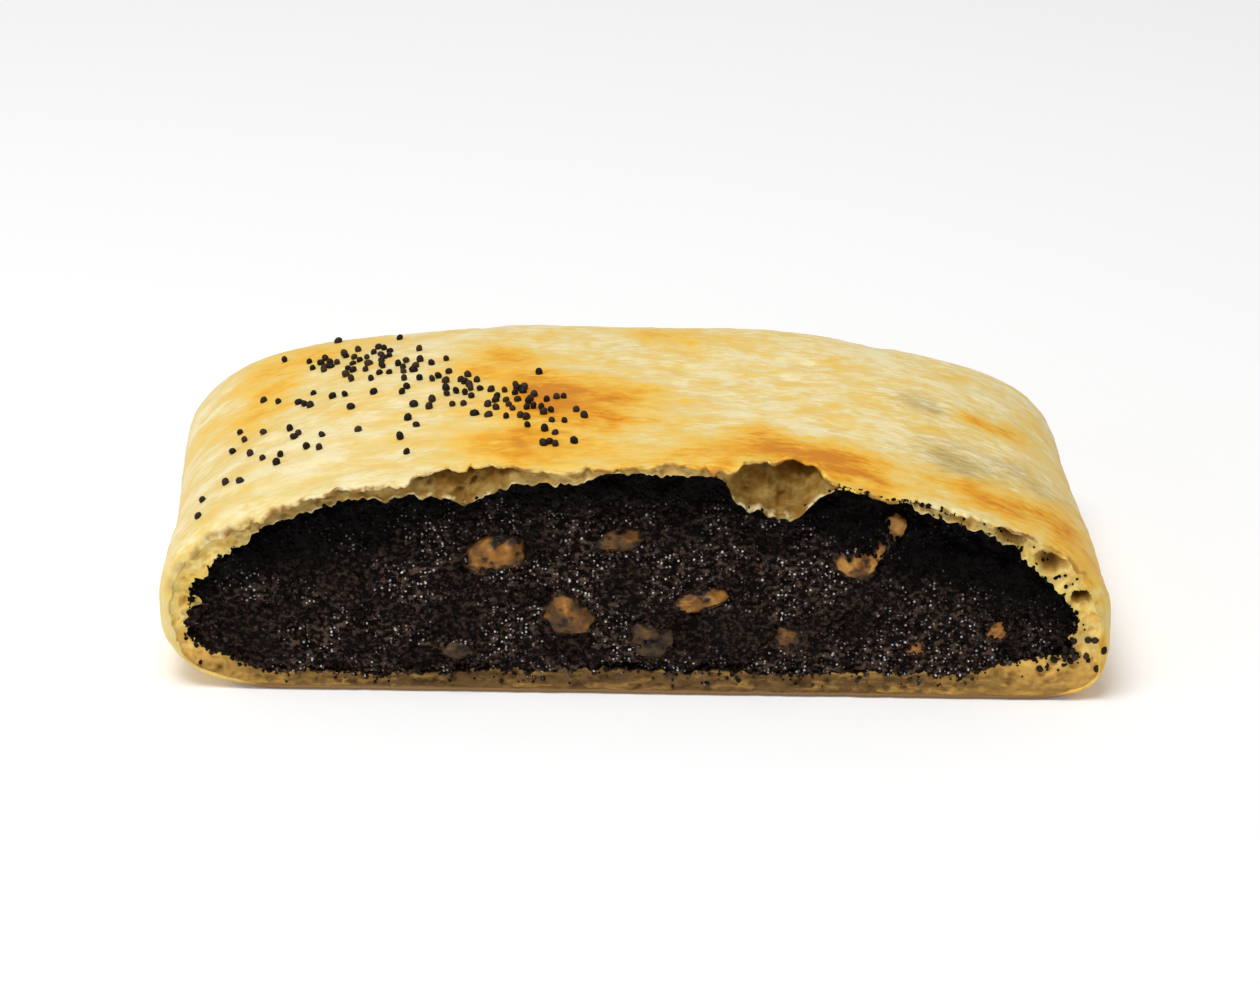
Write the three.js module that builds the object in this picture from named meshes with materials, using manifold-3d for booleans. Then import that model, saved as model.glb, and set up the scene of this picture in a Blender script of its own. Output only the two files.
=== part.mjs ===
// The cut half of a baked poppy seed strudel. A dough crust, closed at its far end and cut open at its near
// end, holds a dark poppy seed filling with pieces of walnut in it, and poppy seeds lie on the crust.
// Millimetres, +Z up. X runs across the roll and Y from the cut face to the closed end.

import * as THREE from "three";
import { mergeVertices } from "three/addons/utils/BufferGeometryUtils.js";
import Module from "manifold-3d";

const { clamp, degToRad, lerp, smoothstep } = THREE.MathUtils;
const wasm = await Module();
wasm.setup();

// Outer form of the crust
const WIDTH = 100; // at the widest line of the cut face
const LENGTH = 53; // from the cut face to the closed end
const HEIGHT = 25.8; // from the underside to the crown at the cut face
const WAIST = 9.1; // height of the widest line
const FOOT_SINK = 1.14; // the foot's curve would reach this far below the waist, but the underside is flat
const CROWN_FALL = 0.13; // share by which the crown falls towards the closed end
const END_LEAN = -3.8; // the closed end lies this far to the left of the cut face
const END_START = 0.7; // share of the length where the closed end begins to round
const END_ROUND = { plan: 4.5, crown: 3.5, foot: 7 }; // superellipse exponents of the closed end
const LEFT_ROUND = { cut: 2.3, end: 2.55, foot: 3.8 }; // and of the section, on either side
const RIGHT_ROUND = { cut: 2, end: 2.5, foot: 5 };

// Relief of the crust
const SWELL = { height: 0.35, across: 8.3, along: 10.1 }; // soft waves all over, by these lengths
const LIP = { x: 14.5, half: 6.5, rise: 0.9, fade: 5 }; // torn skin raised over the big bubble
const FLAP = { foot: 21, crown: 38, rise: 0.8, soft: 1.6 }; // end flap, half as wide as this at each height

// The underside rests on four corners and the flat between them: past the half width its edges lift a little,
// and its two ends curl up by a share of their length
const SOLE = { half: 30, soft: 6, lift: 0.08, cut: 4, end: 37, curl: 0.045, fade: 3 };

// Thickness of the crust, and how far it thickens inwards at the bubbles by the cut
const CRUST = { crown: 1.6, foot: 2.4, left: 2.5, right: 4.8, end: 2.6 };
const THICK_SPOTS = [
  { x: -19, half: 5, extra: 1.9 },
  { x: 14.5, half: 5.2, extra: 4.6 },
];
const THICK_FADE = 8; // depth over which the extra thickness dies away

// The cut edge of the crust: how ragged it is, and bubbles opened by the cut, where the skin is torn back
const RIM_RAGGED = 0.3;
const RIM_INSIDE = 0.5; // depth of the edge by the filling
const RIM_FADE = 12; // depth over which the rows behind the edge even out
const RIM_BUBBLES = [
  { x: 14.6, half: 4.9, torn: 3.4, depth: 3 },
  { x: -17.5, half: 5.2, torn: 1.3, depth: 1.2 },
  { x: 38.6, half: 2.6, torn: 0, depth: 1.6 },
  { x: 43.6, half: 2.2, torn: 0, depth: 1.8 },
];

// Filling: flush with the cut low down, and hollowed under the crown
const GAP = 0.35;
const FACE_DEPTH = { foot: 0.7, crown: 2.8 };
const CRUMB_RELIEF = 0.45;

// Walnut pieces in the cut face: middle across and up, breadth, height and slant
const WALNUTS = [
  { x: -14.6, z: 15, breadth: 7.2, height: 4.8, slant: 20 },
  { x: -2.2, z: 16.6, breadth: 7, height: 2.8, slant: 10 },
  { x: -7.1, z: 8.8, breadth: 5.2, height: 4.2, slant: -15 },
  { x: 6.2, z: 10.5, breadth: 7, height: 2.6, slant: 5 },
  { x: 22.6, z: 14.2, breadth: 6.8, height: 3.7, slant: -4 },
  { x: 26.6, z: 18, breadth: 4.3, height: 2.8, slant: 60 },
  { x: 37.7, z: 7.4, breadth: 2.8, height: 2.2, slant: 0 },
  { x: -18.8, z: 4.9, breadth: 3.7, height: 2.2, slant: 8 },
  { x: 1.7, z: 5.9, breadth: 5.3, height: 4.2, slant: -10 },
  { x: 16.5, z: 6.3, breadth: 4.4, height: 4.2, slant: 25 },
  { x: 29.6, z: 5.6, breadth: 3.4, height: 2.5, slant: 70 },
];
const WALNUT_DEPTH = 0.7; // thickness of a piece, as a share of its breadth
const WALNUT_LEAST_DEPTH = 3;
const WALNUT_SUNK = 0.3; // share of its thickness by which a piece's middle lies behind the face
const WALNUT_LOBES = 0.14; // height of a piece's lobes, as a share of its size

// Poppy seeds strewn on the crust in drifts, as lines in plan, and on the right of the cut edge
const SEED = 1.05;
const SEED_SUNK = 0.3; // share of a seed that lies below the surface
const SEED_APART = 1.15;
const SEED_DRIFTS = [
  { from: [-37, 42], to: [-7, 8], spread: 2.5, count: 76 },
  { from: [-32, 30], to: [-43, 9], spread: 4, count: 34 },
  { from: [-28, 24], to: [-20, 12], spread: 5, count: 14 },
];
const SEED_BOUNDS = { left: -47, cut: 1, end: 49 };
const RIM_SEEDS = { count: 9, from: -8, to: 0 }; // in degrees round the waist's middle

// Fineness of the surfaces
const AROUND = 72;
const OUTER_DEPTHS = [1.5, 4, 8, 12, 16, 21, 26, 31, 37];
const INNER_DEPTHS = [4, 8, 16, 26, 35];
const OUTER_END_ROWS = 10;
const INNER_END_ROWS = 6;
const RIM_SHARES = [0.88, 0.62, 0.35, 0.12];
const FACE_SHARES = [0.94, 0.82, 0.67, 0.5, 0.3];

// Repeatable random numbers from 0 to 1
function makeRandom(seed) {
  let state = seed;
  return () => {
    state = (Math.imul(state, 1664525) + 1013904223) >>> 0;
    return state / 2 ** 32;
  };
}

// A bell curve: 1 at the middle, near 0 at about twice the half width
function bell(offset, half) {
  return Math.exp(-((offset / half) ** 2));
}

// A flat-topped hump: near 1 within the half width
function plateau(offset, half) {
  return Math.exp(-((Math.abs(offset) / half) ** 4));
}

// A point of the outer section, from the middle of the waist
function outline(angle, depth) {
  const c = Math.cos(angle);
  const s = Math.sin(angle);
  const side = c < 0 ? LEFT_ROUND : RIGHT_ROUND;
  const round = s < 0 ? side.foot : lerp(side.cut, side.end, depth / LENGTH);
  const rise = s < 0 ? WAIST * FOOT_SINK : HEIGHT - WAIST;
  const reach = (Math.abs(c / (WIDTH / 2)) ** round + Math.abs(s / rise) ** round) ** (-1 / round);
  return new THREE.Vector2(reach * c, Math.max(reach * s, -WAIST));
}

// The way out of the section at that point
function outward(angle, depth) {
  const step = 0.01;
  const along = outline(angle + step, depth).sub(outline(angle - step, depth));
  return new THREE.Vector2(along.y, -along.x).normalize();
}

// Puts a point of a section at its depth in a form that rounds off at the given length
function place(section, depth, length) {
  const t = clamp((depth / length - END_START) / (1 - END_START), 0, 1);
  const shrink = (round) => (1 - t ** round) ** (1 / round);
  const share = depth / LENGTH;
  const crown = shrink(END_ROUND.crown) * (1 - CROWN_FALL * share ** 2);
  const tall = section.y > 0 ? crown : shrink(END_ROUND.foot);
  const x = section.x * shrink(END_ROUND.plan) + END_LEAN * share;
  return new THREE.Vector3(x, depth, WAIST + section.y * tall);
}

// Height of the crust's relief over the smooth form
function relief(point) {
  const x = point.x / SWELL.across;
  const y = point.y / SWELL.along;
  const waves = Math.sin(x + 0.7) * Math.sin(y + 1.9) + 0.5 * Math.sin(1.8 * x - 1.7 * y);
  const lip = LIP.rise * bell(point.x - LIP.x, LIP.half) * Math.exp(-point.y / LIP.fade);
  const aboveFoot = smoothstep(point.z, 1, WAIST);
  const aboveWaist = smoothstep(point.z, WAIST, HEIGHT);
  return SWELL.height * waves * aboveFoot + lip * aboveWaist;
}

// How far the end flap stands out of the closed end
function flap(point) {
  const half = lerp(FLAP.foot, FLAP.crown, point.z / HEIGHT);
  const inside = half - Math.abs(point.x - END_LEAN);
  const onEnd = smoothstep(point.y, LENGTH - 5, LENGTH - 0.5);
  return FLAP.rise * smoothstep(inside, -FLAP.soft, FLAP.soft) * onEnd;
}

// How far the underside lifts, except at the two rows that carry the weight
function soleLift(section, depth) {
  const span = clamp((depth - SOLE.cut) / (SOLE.end - SOLE.cut), 0, 1);
  const edge = smoothstep(Math.abs(section.x), SOLE.half, SOLE.half + SOLE.soft);
  const curl = SOLE.curl * Math.max(0, SOLE.cut - depth, depth - SOLE.end);
  const low = 1 - smoothstep(section.y + WAIST, 0, SOLE.fade);
  return low * (SOLE.lift * Math.sin(Math.PI * span) * edge + curl);
}

// A point on the outside of the crust
function outerPoint(angle, depth) {
  const section = outline(angle, depth);
  const point = place(section, depth, LENGTH);
  const out = outward(angle, depth);
  const height = relief(point);
  const lift = out.y * height + soleLift(section, depth);
  return point.add(new THREE.Vector3(out.x * height, flap(point), lift));
}

// Thickness of the crust at a place round the section
function thickness(section, depth) {
  const flank = smoothstep(Math.abs(section.x), 0.72 * (WIDTH / 2), WIDTH / 2);
  const middle = lerp(CRUST.foot, CRUST.crown, smoothstep(section.y, -4, 6));
  const side = section.x < 0 ? CRUST.left : CRUST.right;
  let extra = 0;
  for (const spot of THICK_SPOTS) {
    extra += spot.extra * bell(section.x - spot.x, spot.half);
  }
  const crown = smoothstep(section.y, 0, 6);
  return lerp(middle, side, flank) + extra * crown * Math.exp(-depth / THICK_FADE);
}

// A point on the inside of the crust, or a clearance further in
function innerPoint(angle, depth, clearance) {
  const section = outline(angle, depth);
  const inset = thickness(section, depth) + clearance;
  section.addScaledVector(outward(angle, depth), -inset);
  return place(section, depth, LENGTH - CRUST.end - clearance);
}

// Depth of the skin's torn edge behind the cut plane, on the crown
function skinEdge(angle) {
  const section = outline(angle, 0);
  let depth = RIM_RAGGED * (1 + Math.sin(section.x / 2.9 + 1));
  for (const bubble of RIM_BUBBLES) {
    depth += bubble.torn * plateau(section.x - bubble.x, bubble.half);
  }
  return depth * smoothstep(section.y, 0, 6);
}

// A point on the crust's cut edge, at a share of the way from the skin to the filling
function rimPoint(angle, share) {
  const point = outerPoint(angle, skinEdge(angle)).lerp(innerPoint(angle, RIM_INSIDE, 0), share);
  const across = Math.sin(Math.PI * Math.min(1, share / 0.8));
  const crown = smoothstep(point.z, WAIST, WAIST + 4);
  for (const bubble of RIM_BUBBLES) {
    point.y += bubble.depth * plateau(point.x - bubble.x, bubble.half) * across * crown;
  }
  return point;
}

// Depth of the filling's crumbly face behind the cut plane
function faceDepth(x, z) {
  const hollow = lerp(FACE_DEPTH.foot, FACE_DEPTH.crown, smoothstep(z, 8, HEIGHT - 3));
  const lumps = Math.sin(x / 1.9 + z / 2.7) * Math.sin(z / 1.6 - x / 5) + 0.6 * Math.sin(x / 3.1 - z / 1.3);
  return hollow + CRUMB_RELIEF * lumps;
}

// Angles that split the section into equal arcs
function evenAngles(count) {
  const fine = 2000;
  const lengths = [0];
  for (let i = 1; i <= fine; i += 1) {
    const from = outline(((i - 1) / fine) * 2 * Math.PI, 0);
    const to = outline((i / fine) * 2 * Math.PI, 0);
    lengths.push(lengths[i - 1] + from.distanceTo(to));
  }
  const angles = [];
  for (let i = 0, k = 0; k < count; i += 1) {
    if (lengths[i] >= (k / count) * lengths[fine]) {
      angles.push((i / fine) * 2 * Math.PI);
      k += 1;
    }
  }
  return angles;
}

// Depths of the rows that round off a form of the given length, without its last point
function endDepths(rows, length) {
  const depths = [];
  for (let row = 1; row < rows; row += 1) {
    const t = Math.sin((row / rows) * (Math.PI / 2)) ** (2 / END_ROUND.plan);
    depths.push(length * lerp(END_START, 1, t));
  }
  return depths;
}

// A closed surface through rings of equal count, with a point at each end
function loft(first, rings, last) {
  const count = rings[0].length;
  const points = [first, ...rings.flat(), last];
  const end = points.length - 1;
  const index = [];
  for (let i = 0; i < count; i += 1) {
    const next = (i + 1) % count;
    index.push(0, 1 + i, 1 + next);
    for (let ring = 0; ring < rings.length - 1; ring += 1) {
      const here = 1 + ring * count;
      const there = here + count;
      index.push(here + i, there + i, there + next);
      index.push(here + i, there + next, here + next);
    }
    index.push(end, end - count + next, end - count + i);
  }
  const geometry = new THREE.BufferGeometry().setFromPoints(points);
  geometry.setIndex(index);
  return geometry;
}

// Closed meshes and solids that can be joined and cut, in either direction
function toSolid(geometry) {
  const mesh = new wasm.Mesh({
    numProp: 3,
    vertProperties: new Float32Array(geometry.attributes.position.array),
    triVerts: new Uint32Array(geometry.index.array),
  });
  return new wasm.Manifold(mesh);
}

function toGeometry(solid) {
  const mesh = solid.getMesh();
  const geometry = new THREE.BufferGeometry();
  geometry.setAttribute("position", new THREE.BufferAttribute(mesh.vertProperties, 3));
  geometry.setIndex(new THREE.BufferAttribute(mesh.triVerts, 1));
  return geometry;
}

// An icosahedron whose faces share their corners
function icosahedron(radius, detail) {
  const geometry = new THREE.IcosahedronGeometry(radius, detail);
  geometry.deleteAttribute("normal");
  geometry.deleteAttribute("uv");
  return mergeVertices(geometry);
}

const angles = evenAngles(AROUND);

// The crust's bare shell: the inside from the closed end to the cut, the cut edge, and the outside back again
function crustShell() {
  const cavity = LENGTH - CRUST.end;
  const innerDepths = [...INNER_DEPTHS, ...endDepths(INNER_END_ROWS, cavity)].reverse();
  const rings = innerDepths.map((depth) => angles.map((angle) => innerPoint(angle, depth, 0)));
  for (const share of [1, ...RIM_SHARES, 0]) {
    rings.push(angles.map((angle) => rimPoint(angle, share)));
  }
  for (const depth of [...OUTER_DEPTHS, ...endDepths(OUTER_END_ROWS, LENGTH)]) {
    const fade = Math.max(0, 1 - depth / RIM_FADE);
    rings.push(angles.map((angle) => outerPoint(angle, depth + fade * skinEdge(angle))));
  }
  const innerEnd = place(new THREE.Vector2(), cavity, cavity);
  const outerEnd = new THREE.Vector3(END_LEAN, LENGTH + FLAP.rise, WAIST);
  return loft(innerEnd, rings, outerEnd);
}

// The angle at which the crown lies over a point in plan
function crownAngle(x, depth) {
  let low = 0;
  let high = Math.PI;
  for (let pass = 0; pass < 30; pass += 1) {
    const middle = (low + high) / 2;
    if (outerPoint(middle, depth).x > x) {
      low = middle;
    } else {
      high = middle;
    }
  }
  return low;
}

// Places of the seeds and the way out of the crust there, each clear of the seeds before it
function seedPlaces() {
  const random = makeRandom(7);
  const scatter = () => 2 * (random() + random() + random() - 1.5);
  const seeds = [];
  const tryPlace = (point, out) => {
    if (seeds.every((other) => other.point.distanceTo(point) > SEED_APART)) {
      seeds.push({ point, out });
    }
  };
  for (const drift of SEED_DRIFTS) {
    for (let i = 0; i < drift.count; i += 1) {
      const share = random();
      const x = lerp(drift.from[0], drift.to[0], share) + scatter() * drift.spread;
      const depth = lerp(drift.from[1], drift.to[1], share) + scatter() * drift.spread;
      if (x > SEED_BOUNDS.left && depth > SEED_BOUNDS.cut && depth < SEED_BOUNDS.end) {
        const angle = crownAngle(x, depth);
        const out = outward(angle, depth);
        tryPlace(outerPoint(angle, depth), new THREE.Vector3(out.x, 0, out.y));
      }
    }
  }
  for (let i = 0; i < RIM_SEEDS.count; i += 1) {
    const angle = degToRad(lerp(RIM_SEEDS.from, RIM_SEEDS.to, random()));
    tryPlace(rimPoint(angle, lerp(0.15, 0.75, random())), new THREE.Vector3(0, -1, 0));
  }
  return seeds;
}

// The crust with its seeds, each turned its own way and sunk a little into the surface
function crustWithSeeds() {
  const random = makeRandom(11);
  let solid = toSolid(crustShell());
  for (const { point, out } of seedPlaces()) {
    const seed = icosahedron(SEED / 2, 0);
    seed.scale(1, 0.85, 0.8);
    seed.rotateX(random() * Math.PI);
    seed.rotateZ(random() * Math.PI);
    const middle = point.clone().addScaledVector(out, SEED * (0.5 - SEED_SUNK));
    seed.translate(middle.x, middle.y, middle.z);
    solid = solid.add(toSolid(seed));
  }
  return toGeometry(solid);
}

// Thickness of a walnut piece, into the filling
function walnutDepth(walnut) {
  return Math.max(WALNUT_LEAST_DEPTH, WALNUT_DEPTH * walnut.breadth);
}

// A lumpy piece of walnut, about its own middle, grown by a clearance
function walnutGeometry(walnut, clearance) {
  const geometry = icosahedron(1, 1);
  const position = geometry.attributes.position;
  const half = new THREE.Vector3(walnut.breadth, walnutDepth(walnut), walnut.height);
  half.multiplyScalar(0.5).addScalar(clearance);
  for (let i = 0; i < position.count; i += 1) {
    const point = new THREE.Vector3().fromBufferAttribute(position, i);
    const lobes = Math.sin(4 * point.x + walnut.x) * Math.sin(3 * point.z + walnut.z);
    point.multiplyScalar(1 + WALNUT_LOBES * lobes).multiply(half);
    position.setXYZ(i, point.x, point.y, point.z);
  }
  return geometry;
}

// Where a walnut piece sits in the face, and its turn
function walnutSeat(walnut) {
  const sunk = WALNUT_SUNK * walnutDepth(walnut);
  const middle = new THREE.Vector3(walnut.x, faceDepth(walnut.x, walnut.z) + sunk, walnut.z);
  return { middle, turn: new THREE.Euler(0, -degToRad(walnut.slant), 0) };
}

// The filling: a crumbly face at the cut and a body that fills the crust, with hollows for the walnuts
function fillingGeometry() {
  const edge = angles.map((angle) => innerPoint(angle, 0, GAP));
  const heart = new THREE.Vector3(0, 0, WAIST + 2);
  const onFace = (point) => point.setY(faceDepth(point.x, point.z));
  const rings = FACE_SHARES.slice().reverse().map(
    (share) => edge.map((point) => onFace(heart.clone().lerp(point, share))),
  );
  rings.push(angles.map((angle, i) => innerPoint(angle, faceDepth(edge[i].x, edge[i].z), GAP)));
  const length = LENGTH - CRUST.end - GAP;
  for (const depth of [...INNER_DEPTHS, ...endDepths(INNER_END_ROWS, length)]) {
    rings.push(angles.map((angle) => innerPoint(angle, depth, GAP)));
  }
  const end = place(new THREE.Vector2(), length, length);
  let solid = toSolid(loft(onFace(heart.clone()), rings, end));
  for (const walnut of WALNUTS) {
    const hollow = walnutGeometry(walnut, GAP);
    const { middle, turn } = walnutSeat(walnut);
    hollow.applyMatrix4(new THREE.Matrix4().makeRotationFromEuler(turn).setPosition(middle));
    solid = solid.subtract(toSolid(hollow));
  }
  return toGeometry(solid);
}

function named(name, geometry, color, roughness) {
  const mesh = new THREE.Mesh(geometry, new THREE.MeshStandardMaterial({ color, roughness, metalness: 0 }));
  mesh.name = name;
  return mesh;
}

const strudel = new THREE.Group();
strudel.add(named("crust", crustWithSeeds(), 0xefd79a, 0.6));
strudel.add(named("filling", fillingGeometry(), 0x211915, 0.45));
WALNUTS.forEach((walnut, i) => {
  const mesh = named(`walnut_${String(i + 1).padStart(2, "0")}`, walnutGeometry(walnut, 0), 0x9a6a35, 0.5);
  const { middle, turn } = walnutSeat(walnut);
  mesh.position.copy(middle);
  mesh.rotation.copy(turn);
  strudel.add(mesh);
});

// The origin is under the middle of the whole, on the surface that it stands on
const box = new THREE.Box3().setFromObject(strudel);
const centre = box.getCenter(new THREE.Vector3());
strudel.position.set(-centre.x, -centre.y, -box.min.z);

export default strudel;
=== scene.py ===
# %% [markdown]
# # Poppy seed strudel, the cut half
#
# A sheet of thin yeast dough was rolled round a dark poppy seed filling, sprinkled with seeds, baked, and cut
# across. This lesson dresses the plain solids of that piece: it makes a baked skin with a torn edge, the open
# crumb below it, a crumbly filling, walnut pieces and loose seeds, gives each its finish, and sets up a soft
# studio. Run the cells in order. Sizes are in millimetres and turn into Blender's metres when a mesh is made.

# %% Load the plain solids as a fixed frame
import math

import bpy
import numpy as np
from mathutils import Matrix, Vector, noise


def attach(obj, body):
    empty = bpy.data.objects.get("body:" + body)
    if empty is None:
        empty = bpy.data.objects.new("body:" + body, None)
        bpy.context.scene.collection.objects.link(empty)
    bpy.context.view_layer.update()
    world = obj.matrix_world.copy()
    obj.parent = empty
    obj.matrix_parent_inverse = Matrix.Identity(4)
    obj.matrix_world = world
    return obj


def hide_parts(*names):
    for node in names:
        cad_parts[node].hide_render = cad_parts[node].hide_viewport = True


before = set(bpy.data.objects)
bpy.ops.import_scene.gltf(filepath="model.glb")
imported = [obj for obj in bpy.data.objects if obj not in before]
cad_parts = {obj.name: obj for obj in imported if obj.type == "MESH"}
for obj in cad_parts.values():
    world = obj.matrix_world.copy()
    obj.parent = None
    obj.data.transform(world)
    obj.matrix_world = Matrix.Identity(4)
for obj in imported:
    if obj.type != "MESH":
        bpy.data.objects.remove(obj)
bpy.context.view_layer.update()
MM = 0.001
print("solids:", ", ".join(sorted(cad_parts)))

# %% [markdown]
# ## The form of the roll
#
# The crust follows a rule, so it is worked out and not sculpted. Its section is a superellipse: an ellipse
# whose exponent makes it squarer. The crown has one exponent and the foot another, and the underside is cut
# flat. Along the roll the section stays the same, then rounds off into the closed end. All of it is measured
# from the cut face: x across, depth behind the cut, z up. Arrays of points do this better here than nodes,
# because the torn edge needs a rule of its own at every point.

# %% Driving sizes of the form
WIDTH = 100
LENGTH = 53
HEIGHT = 25.8
WAIST = 9.1  # height of the widest place
FOOT_SINK = 1.14  # depth of the foot's whole curve below the waist, as a share of the waist's height
CROWN_FALL = 0.13  # share of its height that the crown loses by the closed end
END_LEAN = -3.8  # how far the closed end stands to one side
END_START = 0.7  # share of the length where the end begins to round off
END_ROUND = {"plan": 4.5, "crown": 3.5, "foot": 7}  # exponents, as in the next two lines
LEFT_ROUND = {"cut": 2.3, "end": 2.55, "foot": 3.8}
RIGHT_ROUND = {"cut": 2, "end": 2.5, "foot": 5}
CENTRE = np.array([1.51, -26.62, 0])  # the cut's foot as seen from the frame's origin
print(f"the form is {WIDTH} mm wide, {LENGTH} mm long and {HEIGHT} mm high, without its relief")


# %% Curves and tables used everywhere
def smoothstep(value, low, high):
    """0 at low and 1 at high, smooth between. It falls with the value where low is the larger one."""
    share = np.clip((value - low) / (high - low), 0, 1)
    return share * share * (3 - 2 * share)


def hump(offset, half, power=2):
    """1 in the middle and 0 far out, with steeper sides for a higher power."""
    return np.exp(-(np.abs(offset / half) ** power))


def lerp(first, second, share):
    return first + (second - first) * share


def hills(points, height, size, seed):
    """Smooth random heights, up and down, with hills about `size` apart, one size for each axis or for all."""
    spots = points.reshape(-1, 3) / np.broadcast_to(size, 3) + seed
    return height * np.array([noise.noise(spot) for spot in spots.tolist()]).reshape(points.shape[:-1])


def axes(points):
    """The x, depth and z of points, each as an array."""
    return np.moveaxis(points, -1, 0)


def table(columns, *rows):
    """Rows of numbers as dictionaries with these columns."""
    return [dict(zip(columns.split(), row)) for row in rows]


print("a smoothstep is", smoothstep(0.25, 0, 1), "a quarter of the way along")


# %% The smooth section and its place along the roll
SKIN_COLUMNS = {"count": 740, "sole_share": 0.2}
CRUMB_COLUMNS = {"count": 1000, "sole_share": 0.8}


def outline(angle, depth):
    """A point of the outer section, from the middle of the waist."""
    c, s = np.cos(angle), np.sin(angle)
    crown_left = lerp(LEFT_ROUND["cut"], LEFT_ROUND["end"], depth / LENGTH)
    crown_right = lerp(RIGHT_ROUND["cut"], RIGHT_ROUND["end"], depth / LENGTH)
    crown = np.where(c < 0, crown_left, crown_right)
    foot = np.where(c < 0, LEFT_ROUND["foot"], RIGHT_ROUND["foot"])
    power = np.where(s < 0, foot, crown)
    rise = np.where(s < 0, WAIST * FOOT_SINK, HEIGHT - WAIST)
    reach = (np.abs(c / (WIDTH / 2)) ** power + np.abs(s / rise) ** power) ** (-1 / power)
    return np.stack([reach * c, np.maximum(reach * s, -WAIST)], axis=-1)


def cut_outline(angle):
    """Where the outer section lies at the cut: across, and up from the waist."""
    return outline(angle, 0.0).T


def outward(angle, depth):
    """The way out of the section."""
    step = 0.01
    along = outline(angle + step, depth) - outline(angle - step, depth)
    out = np.stack([along[..., 1], -along[..., 0]], axis=-1)
    return out / np.linalg.norm(out, axis=-1, keepdims=True)


def place(section, depth, length):
    """Puts points of a section at their depth in a form that rounds off at that length."""
    share = np.clip((depth / length - END_START) / (1 - END_START), 0, 1)
    wide, crown, foot = ((1 - share**power) ** (1 / power) for power in END_ROUND.values())
    crown = crown * (1 - CROWN_FALL * (depth / LENGTH) ** 2)
    x = section[..., 0] * wide + END_LEAN * depth / LENGTH
    z = WAIST + section[..., 1] * np.where(section[..., 1] > 0, crown, foot)
    return np.stack(np.broadcast_arrays(x, depth, z), axis=-1)


def spread_angles(count, sole_share):
    """Angles that split the section into equal arcs, where the sole counts for a share of its length."""
    fine = np.linspace(0, 2 * np.pi, num=6001)
    points = cut_outline(fine).T
    steps = np.linalg.norm(np.diff(points, axis=0), axis=1)
    on_sole = points[1:, 1] < 0.01 - WAIST
    steps = steps * np.where(on_sole, sole_share, 1)
    lengths = np.concatenate([[0], np.cumsum(steps)])
    return np.interp(np.arange(count) / count * lengths[-1], lengths, fine)


skin_angles = spread_angles(**SKIN_COLUMNS)
crumb_angles = spread_angles(**CRUMB_COLUMNS)
print(f"{len(skin_angles)} points round the skin, {len(crumb_angles)} round the crumb")

# %% [markdown]
# ## The skin of the crust
#
# Baked dough is never smooth. Soft waves run over the whole crust and a few gas bubbles lift the skin. The far
# end was folded shut, so a flap stands proud there and fades out at the foot. All of this could be bump
# mapping, but relief in the mesh also shows at the outline and in the shadows, so the mesh carries it and bump
# only adds what is finer than its quads. A layer of random hills is a height, a size and a seed.

# %% Relief of the skin
SWELL = {"height": 0.35, "across": 8.3, "along": 10.1}
LIP = {"x": 16.0, "half": 6.5, "rise": 0.9, "fade": 5}
FLAP = {"foot": 21, "crown": 38, "rise": 0.8, "soft": 1.0, "crease": 0.5}
FLAP_FADE = {"depth": (LENGTH - 5, LENGTH - 0.5), "height": (0, 8)}
RIPPLES = (0.16, (5, 1.9, 5), 3.1)
GRAIN = (0.05, 0.9, 17.3)
BLISTERS = {"layer": (1, (5.5, 4, 5.5), 41.7), "limits": (0.25, 0.75), "height": 0.22}
FINE_FOOT = (0.3, 4)  # heights over which the fine relief sets in


def soft_relief(point):
    """Broad waves of the skin, and the raised lip over the big bubble."""
    x, depth, z = axes(point)
    u, v = x / SWELL["across"], depth / SWELL["along"]
    waves = np.sin(u + 0.7) * np.sin(v + 1.9) + 0.5 * np.sin(1.8 * u - 1.7 * v)
    lip = LIP["rise"] * hump(x - LIP["x"], LIP["half"]) * np.exp(-depth / LIP["fade"])
    return SWELL["height"] * waves * smoothstep(z, 1, WAIST) + lip * smoothstep(z, WAIST, HEIGHT)


def flap_relief(point):
    """How far the folded flap stands out of the closed end, with a crease along its edge."""
    x, depth, z = axes(point)
    inside = lerp(FLAP["foot"], FLAP["crown"], z / HEIGHT) - np.abs(x - END_LEAN)
    step = FLAP["rise"] * smoothstep(inside, -FLAP["soft"], FLAP["soft"])
    crease = FLAP["crease"] * hump(inside + FLAP["soft"], FLAP["soft"])
    return (step - crease) * smoothstep(depth, *FLAP_FADE["depth"]) * smoothstep(z, *FLAP_FADE["height"])


def skin_point(angle, depth, inset=0.0, sag=0.0):
    """Points on the outside of the crust, or an inset below it, sunk where torn skin sags."""
    out = outward(angle, depth)
    section = outline(angle, depth)
    outside = place(section, depth, LENGTH)
    height = soft_relief(outside) - sag
    push = np.stack([out[..., 0] * height, flap_relief(outside), out[..., 1] * height], axis=-1)
    return place(section - out * inset, depth, LENGTH - inset) + push


def fine_relief(point):
    """Ripples, grain and blisters of the skin, as heights along its normal."""
    swollen = BLISTERS["height"] * smoothstep(hills(point, *BLISTERS["layer"]), *BLISTERS["limits"])
    return (hills(point, *RIPPLES) + hills(point, *GRAIN) + swollen) * smoothstep(point[..., 2], *FINE_FOOT)


cut_relief = soft_relief(place(outline(skin_angles, 0.0), 0.0, LENGTH))
print(f"soft relief along the cut: {cut_relief.min():.1f} to {cut_relief.max():.1f} mm")


# %% [markdown]
# ## The torn edge at the cut
#
# A knife drags soft dough, so the cut edge is ragged. The skin is a thin sheet of its own: it is torn back in
# places, curls or sags at its edge, and leaves the crumb below it bare. Two large bubbles on the crown were
# opened by the cut, and beside them thin tongues of dough hang into the filling. On the right the golden skin
# lies folded, so a second layer shows. On the flanks the edge is calm and turns in with a round.

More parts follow.
